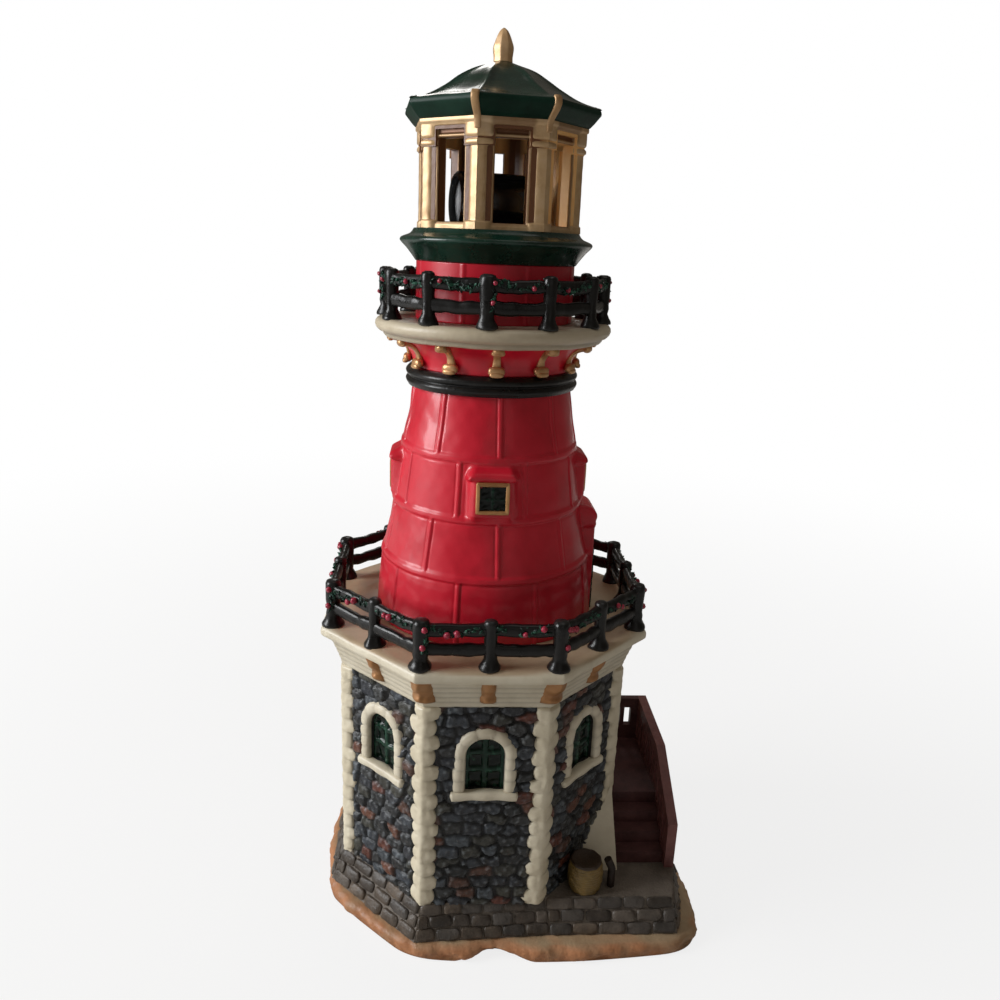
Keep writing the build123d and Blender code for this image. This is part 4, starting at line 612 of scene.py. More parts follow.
def make_bricks():
    draw = np.random.default_rng(11)
    shape = Shape()
    foot, top = plinth_outline(BATTER), plinth_outline(0.0)
    plinth = PLINTH_TOP - SLAB_TOP
    slope = atan(BATTER / plinth)
    tall = plinth / BRICK_COURSES / cos(slope)
    for i in range(len(foot)):
        j = (i + 1) % len(foot)
        length = np.linalg.norm(foot[j] - foot[i])
        along = (foot[j] - foot[i]) / length
        out = np.array((along[1], -along[0]))
        outward = np.array((*(out * cos(slope)), sin(slope)))
        upward = np.array((*(-out * sin(slope)), cos(slope)))
        count = max(1, round(length / BRICK_LENGTH))
        for course in range(BRICK_COURSES):
            joints = brick_joints(count, course % 2, draw)
            for start, end in zip(joints[:-1], joints[1:]):
                rise = (course + 0.5 + draw.uniform(-0.06, 0.06)) / BRICK_COURSES
                middle = (start + end) / 2
                base = (1 - rise) * (foot[i] + (foot[j] - foot[i]) * middle)
                base = base + rise * (top[i] + (top[j] - top[i]) * middle)
                width = (end - start) * ((1 - rise) * length + rise * np.linalg.norm(top[j] - top[i]))
                sizes = (width * draw.uniform(0.93, 0.99), 2.2 + draw.uniform(-0.3, 0.3),
                         tall * draw.uniform(0.90, 0.98))
                centre = np.array((*base, SLAB_TOP + plinth * rise)) - outward * 0.35
                verts, faces = block(centre, sizes, np.array([(*along, 0), outward, upward]), 0.42, 9, 20)
                verts = verts + wash(waves(verts, 2.4, 21) * 0.24, outward)
                shade = BRICK_SHADES[draw.integers(len(BRICK_SHADES))] * draw.uniform(0.7, 1.25)
                shape.add(verts, faces, shade)
    shape.piece("plinth_bricks", brick, "brick")


# Fieldstone facing: cells of rounded stones in a relief over each wall.
FACE_HALF = WALL * tan(radians(HALF))
STONE_SHADES = np.array([(0.026, 0.029, 0.036), (0.040, 0.047, 0.058), (0.060, 0.071, 0.083),
                         (0.032, 0.033, 0.033), (0.044, 0.043, 0.034), (0.018, 0.019, 0.020)])
RUST_SHADES = np.array([(0.135, 0.040, 0.024), (0.100, 0.044, 0.028), (0.155, 0.058, 0.032)])
STONE_WEAR = (0.06, 0.066, 0.07)
STONE_ROW, STONE_STRETCH = 3.4, 1.8
WINDOW_WIDTH = 10.2
WINDOW_SPRING = high("window_panes")[2] - WINDOW_WIDTH / 2 + 0.1
SURROUND = 3.5
DOOR_WIDTH = 11.0
DOOR_SPRING = LANDING_TOP + 17.5


def inside_arch(x, z, width, bottom, spring):
    """How far points lie inside an arched opening, in millimetres, negative outside."""
    straight = np.minimum(width / 2 - np.abs(x), z - bottom)
    round_part = width / 2 - np.hypot(x, z - spring)
    return np.where(z < spring, straight, round_part)


def arch_grid(zs, width, spring, count):
    """Points that fill an arched opening at those heights: half its width, x and z."""
    round_part = np.sqrt(np.clip((width / 2) ** 2 - (zs - spring) ** 2, 0, None))
    half = np.where(zs < spring, width / 2, round_part)[:, None]
    return half, np.linspace(-1, 1, count)[None] * half, np.repeat(zs[:, None], count, 1)


def stone_cells(x, z, seed):
    """Nearest and second nearest distance to stones, and which stone, with stones wider than tall."""
    draw = np.random.default_rng(seed)
    seeds = []
    rows = int((WALL_TOP - PLINTH_TOP) / STONE_ROW) + 2
    for row in range(rows):
        at = -FACE_HALF - draw.uniform(0, 5)
        while at < FACE_HALF + 5:
            seeds.append((at, PLINTH_TOP + (row + draw.uniform(-0.22, 0.22)) * STONE_ROW))
            at += draw.uniform(4.0, 7.6)
    seeds = np.array(seeds)
    warp = wall_waves(x, z, 0, 5.0, seed + 1) * 0.35
    across = (x[..., None] - seeds[:, 0]) / STONE_STRETCH
    near = np.hypot(across, z[..., None] + warp[..., None] - seeds[:, 1])
    order = np.argpartition(near, 1, axis=-1)[..., :2]
    pair = np.take_along_axis(near, order, -1)
    which = np.take_along_axis(order, np.argmin(pair, -1)[..., None], -1)[..., 0]
    return pair.min(-1), pair.max(-1), which, len(seeds)


def make_stones():
    shape = Shape()
    x, z = np.meshgrid(np.linspace(-FACE_HALF, FACE_HALF, 80), np.linspace(PLINTH_TOP - 0.2, WALL_TOP, 150))
    quads = net(*x.shape)
    for i in range(SIDES):
        first, second, which, count = stone_cells(x, z, 40 + i)
        draw = np.random.default_rng(90 + i)
        shades = STONE_SHADES[draw.integers(len(STONE_SHADES), size=count)]
        shades = shades * draw.uniform(0.75, 1.35, (count, 1))
        rust = draw.uniform(size=count) < 0.20
        rust[1:] &= ~rust[:-1]
        shades[rust] = RUST_SHADES[draw.integers(len(RUST_SHADES), size=rust.sum())]
        tall = draw.uniform(0.45, 1.2, count)
        gap = smooth(second - first, 0.08, 0.85)
        grain = wall_waves(x, z, 7 * i, 1.7, 60) * 0.14
        proud = 0.1 + gap * (tall[which] + grain) * smooth(FACE_HALF - np.abs(x), 2.6, 4.4)
        worn = smooth(grain, 0.06, 0.2) * gap
        tint = 0.8 * shades[which] * (0.15 + 0.85 * gap[..., None] ** 1.5) + wash(worn, STONE_WEAR)
        opening = (WINDOW_WIDTH + SURROUND, WINDOW_LOW - 1.2, WINDOW_SPRING)
        if i == DOOR_FACE:
            opening = (DOOR_WIDTH + SURROUND, LANDING_TOP - 1, DOOR_SPRING)
        kept = (inside_arch(x, z, *opening).ravel()[quads] <= 0).any(1)
        shape.add(on_wall(face_angle(i), WALL, x, z, proud), quads[kept], tint)
    shape.piece("stone_facing", stone, "fieldstone")


# Quoins: a column of scalloped lumps around each corner of the house.
QUOIN_ROWS = 14
QUOIN_PROUD = 1.45
QUOIN_TINT = (1, 0.99, 0.96)


def make_quoins():
    shape = Shape()
    zs = np.linspace(PLINTH_TOP - 0.3, WALL_TOP + 0.3, QUOIN_ROWS * 12)
    u = np.linspace(-1, 1, 31)
    aside = np.abs(u[None])
    row_height = (WALL_TOP - PLINTH_TOP) / QUOIN_ROWS
    for i in range(SIDES):
        corner = face_angle(i) + HALF
        draw = np.random.default_rng(120 + i)
        wander = waves(np.stack([0 * zs, 0 * zs + i * 9, zs], -1), 11, 5) * 0.12
        place = (zs - PLINTH_TOP) / row_height + wander
        row = np.clip(place.astype(int), 0, QUOIN_ROWS - 1)
        swell = np.maximum(np.abs(np.sin(pi * place)) ** 0.55, smooth(zs, WALL_TOP - 1.7, WALL_TOP - 0.7))
        legs = []
        for side in range(2):
            wide = (np.arange(QUOIN_ROWS) % 2 == side) * draw.uniform(0.4, 1.6, QUOIN_ROWS)
            reach = draw.uniform(3.1, 3.9, QUOIN_ROWS) + wide
            legs.append(reach[row] - 1.1 * (1 - swell))
        along = u[None] * np.where(u[None] < 0, legs[0][:, None], legs[1][:, None])
        crown = (1 - aside ** 3.2) ** 0.5
        groove = (1 - swell[:, None] ** 0.8) * (0.10 + 0.55 * aside)
        proud = QUOIN_PROUD * crown * (1 - groove) - 0.05
        proud = proud * (1 - 0.95 * smooth(zs, WALL_TOP - 0.9, WALL_TOP + 0.1)[:, None])
        proud[:, [0, -1]] = -0.35
        turn = smooth(along, -0.8, 0.8)[..., None]
        outward = direction(corner - HALF) * (1 - turn) + direction(corner + HALF) * turn
        outward = outward / np.linalg.norm(outward, axis=-1, keepdims=True)
        way = np.where(along[..., None] < 0, direction(corner - HALF - 90), direction(corner + HALF + 90))
        verts = direction(corner) * (WALL / FLAT) + way * np.abs(along)[..., None]
        verts = verts + outward * proud[..., None]
        verts[..., 2] = zs[:, None]
        verts += (waves(verts, 2.6, 8) * 0.07)[..., None] * outward
        # Painted shade in the joints between blocks and along the edges where the quoins meet the stones.
        shade = 1 - 0.30 * (1 - swell[:, None] ** 0.6) * aside - 0.35 * smooth(aside, 0.9, 1.0)
        shape.add(verts, net(len(zs), len(u)), wash(shade, QUOIN_TINT))
    shape.piece("quoin_columns", cream, "cream", ["corner_quoins"])


# Surrounds: rounded voussoirs and jamb blocks, with a flat sill under each window.
SURROUND_PROUD = 1.5
SURROUND_SECTION = [(0.02, 0.2), (0.1, 0.75), (0.24, 1.0), (0.5, 1.08), (0.76, 1.0), (0.9, 0.72), (0.98, 0.3),
                    (1.0, -0.25)]
REVEAL = 1.4
BLOCK_LENGTH = 3.3


def arch_line(width, bottom, spring, count):
    """Points up one jamb, over the arch and down the other, in a wall's x and z, with their ways outwards."""
    rise = spring - bottom
    total = 2 * rise + pi * width / 2
    s = np.linspace(0, total, count)
    turn = np.clip((s - rise) / (width / 2), 0, pi)
    x = -width / 2 * np.cos(turn)
    over = np.where(s > total - rise, bottom + total - s, spring + width / 2 * np.sin(turn))
    return s, total, x, np.where(s < rise, bottom + s, over), np.stack([-np.cos(turn), np.sin(turn)], -1)


def add_surround(shape, angle, width, bottom, spring, seed):
    s, total, x, z, out = arch_line(width, bottom, spring, 200)
    blocks = round(total / BLOCK_LENGTH)
    place = s / total * blocks
    swell = np.abs(np.sin(pi * place)) ** 0.5
    draw = np.random.default_rng(seed)
    wide = SURROUND + draw.uniform(-0.25, 0.3, blocks + 1)[np.minimum(place.astype(int), blocks)]
    wide = wide - 0.25 * (1 - swell)
    section = [(0.0, -REVEAL)] + SURROUND_SECTION
    rows, tints = [], []
    for across, proud in section:
        body = proud * SURROUND_PROUD * (1 - 0.2 * (1 - swell)) if proud > 0 else np.full_like(s, proud)
        rows.append(on_wall(angle, WALL, x + out[:, 0] * across * wide, z + out[:, 1] * across * wide, body))
        # Painted shade: darker in the joints between blocks, and much darker on the reveal and on both edges
        # of the blocks.
        tints.append(wash(1 - 0.22 * (1 - swell) - (0.35 if proud < 0.25 else 0.0), (1, 1, 1)))
    shape.add(np.array(rows), net(len(section), len(s)), np.concatenate(tints))


def make_surrounds():
    shape = Shape()
    half = WINDOW_WIDTH / 2 + SURROUND + 0.15
    xs = np.linspace(-half, half, 40)
    for i in WINDOW_FACES:
        add_surround(shape, face_angle(i), WINDOW_WIDTH, WINDOW_LOW, WINDOW_SPRING, 200 + i)
        path = on_wall(face_angle(i), WALL, xs, WINDOW_LOW - 1.1 - 0.3 * np.abs(xs / half) ** 3, 0.4)
        shape.add(*sweep(path, oval(3.2, 2.5, 14, 0.6), UP, 1 + 0.06 * np.cos(xs * 0.9)))
    add_surround(shape, face_angle(DOOR_FACE), DOOR_WIDTH, LANDING_TOP, DOOR_SPRING, 230)
    shape.piece("stone_surround_blocks", cream, "cream", ["stone_surrounds"])


# Panes: lumpy dark green glass with raised lighter bars and painted glints.
PANE_CROSS_BARS = (0.36, 0.68)
PANE_DARK, PANE_BAR, PANE_GLINT = (0.0015, 0.007, 0.004), (0.005, 0.026, 0.015), (0.012, 0.034, 0.022)


def make_panes():
    shape = Shape()
    top = WINDOW_SPRING + WINDOW_WIDTH / 2
    zs = np.linspace(WINDOW_LOW - 0.4, top - 0.02, 90)
    half, x, z = arch_grid(zs, WINDOW_WIDTH, WINDOW_SPRING, 61)
    for i in WINDOW_FACES:
        bar = ridge(x, 0.85)
        for share in PANE_CROSS_BARS:
            level = WINDOW_LOW + share * (top - WINDOW_LOW)
            bar = np.maximum(bar, ridge(z - level + 0.15 * np.sin(x + i), 0.8))
        bar = np.maximum(bar, smooth(np.abs(x) - half, -1.2, -0.6))
        proud = -REVEAL - 0.1 + 0.6 * bar + 0.07 * wall_waves(x, z, 11 * i, 2.3, 31)
        # Painted highlights: small pale green glints scattered over the glass.
        glint = smooth(wall_waves(x, z, 5 * i, 3.1, 33), 0.55, 1.1)
        tint = np.array(PANE_DARK) + wash(bar, PANE_BAR) + wash(glint, PANE_GLINT)
        shape.add(on_wall(face_angle(i), WALL, x, z, proud), net(*x.shape), tint)
    shape.piece("window_glass", pane, "pane", ["window_panes", "window_bars"])


# Keg on the terrace, wound with rope, with a dark lid.
KEG_STRAW, KEG_LID = (0.20, 0.128, 0.036), (0.045, 0.026, 0.014)
KEG_ROPES, KEG_SEGMENTS = 12, 64


def keg_ripple(a, z):
    return 0.09 * np.sin(9 * a + 2.2 * z)


def make_keg():
    lo, hi = low("keg"), high("keg")
    belly = (hi[0] - lo[0]) / 2
    t = np.linspace(0, 1, 60)
    r = belly * (0.74 + 0.26 * np.sin(pi * (0.16 + 0.70 * t)))
    rope = 0.16 * np.abs(np.sin(pi * t * KEG_ROPES)) ** 0.7 - 0.12
    lid = [(belly * 0.78, hi[2]), (belly * 0.68, hi[2] - 0.25), (0.0, hi[2] - 0.35)]
    profile = [(0.0, lo[2])] + list(zip(r + rope, lo[2] + t * (hi[2] - lo[2]))) + lid
    verts, faces = lathe(profile, KEG_SEGMENTS, (lo + hi)[:2] / 2, keg_ripple)
    shade = np.array(KEG_STRAW) * np.ones((len(profile), KEG_SEGMENTS, 1))
    shade[np.concatenate([[0], t, [1, 1, 1]]) > 0.93] = KEG_LID
    groove = np.concatenate([[0], rope, [0, 0, 0]])
    tint = shade * (1 + 2.4 * np.minimum(groove, 0))[:, None, None]
    add_piece((verts, faces), "rope_keg", straw, "straw", ["keg", "keg_hoops"], tint)


# Deck: reeded cornice, stepped rim and floor.
CORNICE = WALL + 1.0
CORNICE_TOP = DECK_TOP - 4.1
DECK_HOLE = 9.0
DECK_RIM = [(-2.5, 0.0), (-1.7, 0.3), (-1.0, 0.65), (-0.5, 1.05), (-0.2, 1.4), (-0.05, 1.7), (0.0, 2.0),
            (0.0, 2.8), (-0.12, 3.3), (-0.45, 3.75), (-1.1, 4.02), (-2.6, 4.1), (-12.0, 4.1)]
DECK_FLOOR_TINT = (0.74, 0.62, 0.52)
REEDS = 5
PLAIN_CORBELS = (3, 13)
CORBEL_LINE = [(-0.4, 76.6), (1.3, 76.8), (2.4, 77.8), (2.1, 79.2), (2.5, 80.2), (3.6, 81.4), (4.3, 83.2),
               (4.5, 84.3)]
CORBEL_GOLD, CORBEL_CREAM = (0.66, 0.47, 0.33), (0.95, 0.93, 0.9)


def reed(z):
    """How far up the cornice a level is, from 0 to 1, and how deep it lies between two reeds."""
    share = (z - WALL_TOP) / (CORNICE_TOP - WALL_TOP)
    return share, 1 - abs(sin(pi * share * REEDS)) ** 0.6


def make_deck():
    profile = [(DECK_HOLE, WALL_TOP, 8.0), (CORNICE - 1.4, WALL_TOP)]
    for z in np.linspace(WALL_TOP, CORNICE_TOP, REEDS * 6 + 1):
        share, groove = reed(z)
        profile.append((CORNICE + 2.9 * share ** 1.2 - 0.15 * groove, z))
    profile += [(DECK + reach, CORNICE_TOP + z) for reach, z in DECK_RIM]
    profile += [(DECK_HOLE, DECK_TOP, 8.0)]
    verts, faces = octagon_lathe(profile + profile[:1], 20, corner=0.9)
    verts[..., 2] += waves(verts, 14, 71) * 0.10 * (verts[..., 2] > CORNICE_TOP)
    shade = np.ones(verts.shape)
    # Painted shade: the cornice is a little darker than the rim, and darker still in the grooves between its
    # reeds.
    for n, entry in enumerate(profile):
        if n > 1 and entry[1] < CORNICE_TOP:
            shade[n] *= 0.93 - 0.22 * reed(entry[1])[1]
    inward = smooth(DECK - 1.2 - np.hypot(verts[..., 0], verts[..., 1]) * FLAT, 0.0, 2.5)
    inward = inward * (verts[..., 2] > DECK_TOP - 0.5)
    tint = shade * (1 - wash(inward, 1 - np.array(DECK_FLOOR_TINT)))
    add_piece((verts, faces), "deck_casting", cream, "cream", ["deck_slab"], tint)


def make_corbels():
    gilt, plain = Shape(), Shape()
    half = np.linspace(-1, 1, 17)
    for i in range(2 * SIDES):
        right, out, up = wall_axes(-90 + i * HALF)
        corner = i % 2 == 1
        wide = 6.8 if corner else 4.8
        profile = curve([(CORNICE + reach, z) for reach, z in CORBEL_LINE], 26)
        if i in PLAIN_CORBELS:
            profile[:, 0] = CORNICE + 0.2 * (profile[:, 0] - CORNICE)
        soft = np.sqrt(np.clip(1 - np.abs(half) ** (4 if corner else 2.5), 0, 1))
        reach = (CORNICE - 0.6) + (profile[:, :1] - CORNICE + 0.6) * soft[None]
        bend = np.abs(half)[None] * (wide / 2) * (tan(radians(HALF)) if corner else 0.0)
        verts = out * (reach * (1 / FLAT if corner else 1.0) - bend)[..., None]
        verts = verts + right * (half * wide / 2)[None, :, None] + up * profile[:, 1:][:, :, None]
        verts = verts + wash(waves(verts, 3.0, 140) * 0.12, out)
        # Painted shade: each scroll darkens where it meets the cornice and towards its sides.
        groove = 0.55 + 0.45 * smooth(profile[:, :1] - CORNICE, 1.0, 2.6) * (0.7 + 0.3 * soft[None])
        group, shade = (plain, CORBEL_CREAM) if i in PLAIN_CORBELS else (gilt, CORBEL_GOLD)
        group.add(verts, net(*reach.shape), wash(groove, shade))
    gilt.piece("deck_corbel_scrolls", gold, "gold", ["deck_corbels"])
    plain.piece("deck_corbel_plain", cream, "cream")


# Railings: turned posts with bell feet, rounded rails, garlands and berries.
DECK_POST, DECK_POST_HEIGHT = DECK - 3.3, 13.2
GALLERY_POST, GALLERY_POST_HEIGHT = GALLERY - 0.8 - 1.9, 12.6
GALLERY_POSTS, GALLERY_TURN = 12, -96.0
RAIL_SAG = 0.35
LEAF_SHADES = np.array([(0.007, 0.026, 0.017), (0.012, 0.050, 0.032), (0.018, 0.080, 0.050),
                        (0.004, 0.014, 0.011)])


def add_post(shape, place, foot, shaft, tall, seed):
    draw = np.random.default_rng(seed)
    profile = [(0.0, -0.1), (foot, -0.1), (foot * 1.02, 0.3), (foot * 0.96, 0.8), (foot * 0.80, 1.5),
               (foot * 0.62, 2.6), (shaft * 1.0, 3.9), (shaft * 0.90, 5.0), (shaft * 0.98, tall * 0.55),
               (shaft * 1.06, tall * 0.8), (shaft * 1.08, tall * 0.92), (shaft * 0.92, tall - 0.35),
               (shaft * 0.5, tall), (0.0, tall + 0.02)]
    lean = draw.uniform(-0.25, 0.25, 2)
    verts, faces = lathe(profile, 20)
    verts = verts + np.array(place)
    verts[..., :2] += ((verts[..., 2] - place[2]) / tall)[..., None] * lean
    lump = waves(verts, 4.0, seed)[..., None] * 0.10
    verts[..., :2] += lump * (verts[..., :2] - np.array(place[:2])) / shaft
    shape.add(verts, faces)


def add_rail(shape, start, end, width, height, seed):
    t = np.linspace(0, 1, 24)[:, None]
    path = np.asarray(start) * (1 - t) + np.asarray(end) * t
    path[:, 2] -= RAIL_SAG * 4 * (t * (1 - t))[:, 0]
    path[:, 2] += waves(path, 6.0, seed) * 0.14
    shape.add(*sweep(path, oval(width, height, 12, 0.75), UP, 1 + 0.07 * waves(path, 4.5, seed + 1)))


def point_at(path, lengths, s):
    return np.array([np.interp(s, lengths, path[:, k]) for k in range(3)])


def add_leaves(shape, path, draw, spread, every=0.15):
    """Small pointed leaves packed around a path."""
    lengths = np.concatenate([[0], np.cumsum(np.linalg.norm(np.diff(path, axis=0), axis=1))])
    for s in draw.uniform(0, lengths[-1], int(lengths[-1] / every)):
        centre = point_at(path, lengths, s)
        ahead = point_at(path, lengths, min(s + 0.4, lengths[-1])) - centre
        away = draw.normal(size=3)
        away /= np.linalg.norm(away)
        lie = ahead / (np.linalg.norm(ahead) + 1e-6) * draw.choice((-1, 1))
        lie = lie + 0.9 * away + draw.normal(size=3) * 0.25
        lie /= np.linalg.norm(lie)
        flat = np.cross(lie, away)
        flat /= np.linalg.norm(flat) + 1e-9
        axes = np.array([lie, flat, np.cross(lie, flat)])
        sizes = np.array((draw.uniform(1.4, 2.4), draw.uniform(0.7, 1.0), 0.5))
        verts, faces = block(centre + away * spread * draw.uniform(0.35, 1.0), sizes, axes, 1.0, 5, 6)
        shape.add(verts, faces, LEAF_SHADES[draw.integers(len(LEAF_SHADES))] * draw.uniform(0.7, 1.5))


def add_berry(shape, centre, radius, seed):
    verts, faces = block(centre, (2 * radius,) * 3, cols=14)
    shape.add(verts + (waves(verts, 1.1, seed) * 0.07)[:, None] * (verts - centre) / radius, faces)


def make_railing(part, base, posts, foot, shaft, tall, rails, rail_size, berries, plump, tails, seed):
    """Posts are (x, y) in order, each joined to the next. Garlands hang down the posts in tails."""
    bars, leaves, fruit = Shape(), Shape(), Shape()
    draw = np.random.default_rng(seed)
    for n, (x, y) in enumerate(posts):
        stout, thick = (1.08, 1.22) if n in tails else (1.0, 1.0)
        add_post(bars, (x, y, base), foot * stout, shaft * thick, tall, seed + n)
        nx, ny = posts[(n + 1) % len(posts)]
        for k, rise in enumerate(rails):
            add_rail(bars, (x, y, base + rise), (nx, ny, base + rise), *rail_size, seed + 50 * k + n)
        start, end = np.array((x, y, base + rails[-1])), np.array((nx, ny, base + rails[-1]))
        out = np.cross(end - start, UP)
        out /= np.linalg.norm(out)
        t = np.linspace(0.08, 0.92, 30)[:, None]
        dip = draw.uniform(0.6, 1.3)
        path = start * (1 - t) + end * t + out * 0.55 - UP * (dip * 4 * t * (1 - t) - 0.5)
        path = path + UP * (0.35 * np.sin(t * 9 + n))
        add_leaves(leaves, path, draw, 1.05)
        for share in draw.uniform(0.12, 0.9, berries):
            centre = path[int(share * 29)] + out * draw.uniform(0.8, 1.15) + UP * draw.uniform(-0.7, 0.6)
            add_berry(fruit, centre, plump * draw.uniform(0.66, 0.95), seed + n)
        if n in tails:
            away = np.array((x, y, 0.0))
            away /= np.linalg.norm(away)
            along = (end - start) / np.linalg.norm(end - start)
            drop = np.linspace(0, 1, 16)[:, None]
            top = np.array((x, y, base + rails[-1] + 0.9)) + away * (shaft * 0.75) + along * shaft * 1.1
            hang = top - UP * drop * (rails[-1] - 3.4) - along * 0.6 * drop
            add_leaves(leaves, hang, draw, 0.75, 0.17)
            for share in (0.12, 0.75):
                add_berry(fruit, hang[int(share * 15)] + away * 0.95, 0.8 * plump, seed + 7 * n)
    bars.piece(part + "_fence_posts_and_rails", black, "black_gloss", [part + "_railing"])
    leaves.piece(part + "_fence_leaves", leaf, "garland_green", [part + "_garland"])
    fruit.piece(part + "_fence_fruit", berry, "berry_red", [part + "_berries"])


def make_railings():
    posts = []
    for side in range(SIDES):
        posts.append(direction(face_angle(side) - HALF)[:2] * DECK_POST / FLAT)
        posts.append(direction(face_angle(side))[:2] * DECK_POST)
    make_railing("deck", DECK_TOP, posts, 2.8, 1.65, DECK_POST_HEIGHT, (5.2, 10.6), (2.2, 3.4), 2, 1.0,
                 range(0, 16, 2), 300)
    turns = [GALLERY_TURN + 360.0 / GALLERY_POSTS * n for n in range(GALLERY_POSTS)]
    posts = [direction(turn)[:2] * GALLERY_POST for turn in turns]
    make_railing("gallery", GALLERY_TOP, posts, 2.45, 1.6, GALLERY_POST_HEIGHT, (4.9, 10.2), (2.0, 3.3), 1,
                 0.72, range(0, 12, 3), 400)


# Red tower: four courses with raised bands and seams, hooded window bosses and the door's hood.
TOWER_LINE = [(87.5, 31.2), (95.2, 30.6), (103.0, 29.8), (110.7, 28.2), (118.2, 26.7), (128.0, 25.3),
              (138.1, 24.0), (144.4, 22.6), (152.3, 21.4)]
TOWER_JOINTS = [105.4, 120.8, 136.5]
SEAM_TURNS = [-106.0, -86.0, -110.2, -86.0]
SEAM_STEP = 40.0
BAND_HALF = 0.9
WINDOW_ANGLES = [-90.0, 0.0, 90.0, 180.0]
BOSS_REACH, BOSS_HALF, BOSS_LOW = 27.2, 6.0, 121.8
HOOD_MIDDLE, HOOD_BELOW, HOOD_ABOVE, HOOD_HALF, HOOD_REACH = 132.7, 1.0, 2.4, 6.9, 27.55
DOOR_ANGLE = 0.0
DOOR_REACH, DOOR_BOSS_HALF, DOOR_HOOD_MIDDLE, DOOR_HOOD_HALF = 30.9, 6.4, 116.4, 7.2


def flat_face(a, angle, reach, limit):
    """Where a flat face towards an angle lies on the tower: which points, x across it and its distance."""
    off = np.radians(from_mark(a, angle, 360))
    facing = np.abs(off) < limit
    off = np.where(facing, off, 0)
    return facing, reach * np.tan(off), reach / np.cos(off)


def raised(r, facing, share, reach):
    """Radius brought out by a share of the way to a farther reach."""
    return np.where(facing & (share > 0), np.maximum(r, r + (reach - r) * share), r)


def make_tower():
    angles = np.linspace(-180, 180, 720, endpoint=False)
    zs = np.concatenate([[DECK_TOP - 0.05], np.linspace(DECK_TOP, TOWER_TOP, 210)])
    a, z = np.meshgrid(angles, zs)
    r = np.interp(z, *curve(TOWER_LINE, 80).T)
    course = np.searchsorted(TOWER_JOINTS, zs)
    band = sum(plateau(z - joint, BAND_HALF, 0.4) for joint in TOWER_JOINTS)
    r = r + 0.42 * band - 0.12 * sum(ridge(z - joint + 1.25, 0.35, 2) for joint in TOWER_JOINTS)
    for n, turn in enumerate(SEAM_TURNS):
        arc = np.radians(from_mark(a, turn, SEAM_STEP)) * r
        rib = ridge(arc, 0.62) * 0.30 - 0.12 * ridge(np.abs(arc) - 0.85, 0.22, 2)
        r = r + np.where((course == n)[:, None], rib, 0) * (1 - np.clip(band, 0, 1))
    points = polar(np.radians(a), r, z)
    r = r + waves(points, 16, 81) * 0.12 + waves(points, 5, 82) * 0.035
    for angle in WINDOW_ANGLES:
        facing, across, flat = flat_face(a, angle, BOSS_REACH, 0.7)
        boss = plateau(across, BOSS_HALF, 1.8) * smooth(z, BOSS_LOW - 1.8, BOSS_LOW + 0.8)
        boss = boss * (1 - smooth(z, HOOD_MIDDLE - 1.0, HOOD_MIDDLE + 3.6))
        r = raised(r, facing, boss, flat)
        droop = z - HOOD_MIDDLE + 0.35 * smooth(np.abs(across), HOOD_HALF - 2.6, HOOD_HALF)
        hood = np.where(droop < 0, dome(droop / HOOD_BELOW, 2), 1 - smooth(droop, 0, HOOD_ABOVE))
        hood = hood * plateau(across, HOOD_HALF - 0.4 * np.clip(droop, 0, 2), 1.4)
        r = raised(r, facing, hood, flat_face(a, angle, HOOD_REACH, 0.7)[2])
    facing, across, flat = flat_face(a, DOOR_ANGLE, DOOR_REACH, 0.6)
    boss = plateau(across, DOOR_BOSS_HALF, 0.8) * (1 - smooth(z, 114.2, 115.6))
    r = raised(r, facing, boss, flat)
    hood = dome((z - DOOR_HOOD_MIDDLE) / 3.3, 2) * plateau(across, DOOR_HOOD_HALF, 1.2)
    r = raised(r, facing, hood, flat + 0.4)
    points = polar(np.radians(a), r, z)
    points[0, :, :2] *= 0.9
    add_piece((points, net(*a.shape, around=True)), "tower_glaze", red, "red_glaze", ["red_tower"])


# Tower windows and door
TOWER_PANE, FRAME_BAR = 6.6, 1.0
# Tints of a tower window frame's bars, in the order left, right, bottom, top: painted light on the left
# upright and painted shade on the top bar under the hood.
FRAME_LIGHT_AND_SHADE = ((1.15, 0.92, 0.72), (1.05, 0.84, 0.64), (0.9, 0.68, 0.5), (0.62, 0.44, 0.3))
TOWER_PANE_DARK, TOWER_PANE_BAR = (0.001, 0.003, 0.002), (0.002, 0.014, 0.008)
TOWER_PANE_GLINT = (0.002, 0.010, 0.006)
DOOR_LEAF, DOOR_PAINT, KNOB_PAINT = 8.4, (0.003, 0.016, 0.010), (0.30, 0.18, 0.07)


def add_frame(shape, angle, low_z, tall, proud):
    """A square frame of soft bars, drawn round a tower window."""
    half = TOWER_PANE / 2 + FRAME_BAR / 2
    upright, level = (FRAME_BAR, tall + 2 * FRAME_BAR), (TOWER_PANE + 2 * FRAME_BAR, FRAME_BAR)
    places = ((-half, tall / 2, upright), (half, tall / 2, upright), (0, -FRAME_BAR / 2, level),
              (0, tall + FRAME_BAR / 2, level))
    axes = wall_axes(angle)
    right, out, up = axes
    for (x, z, (wide, rise)), tint in zip(places, FRAME_LIGHT_AND_SHADE):
        centre = out * (BOSS_REACH + proud / 2 - 0.2) + right * x + up * (low_z + z)
        shape.add(*block(centre, (wide, proud + 0.4, rise), axes, 0.4, 11, 24), tint)


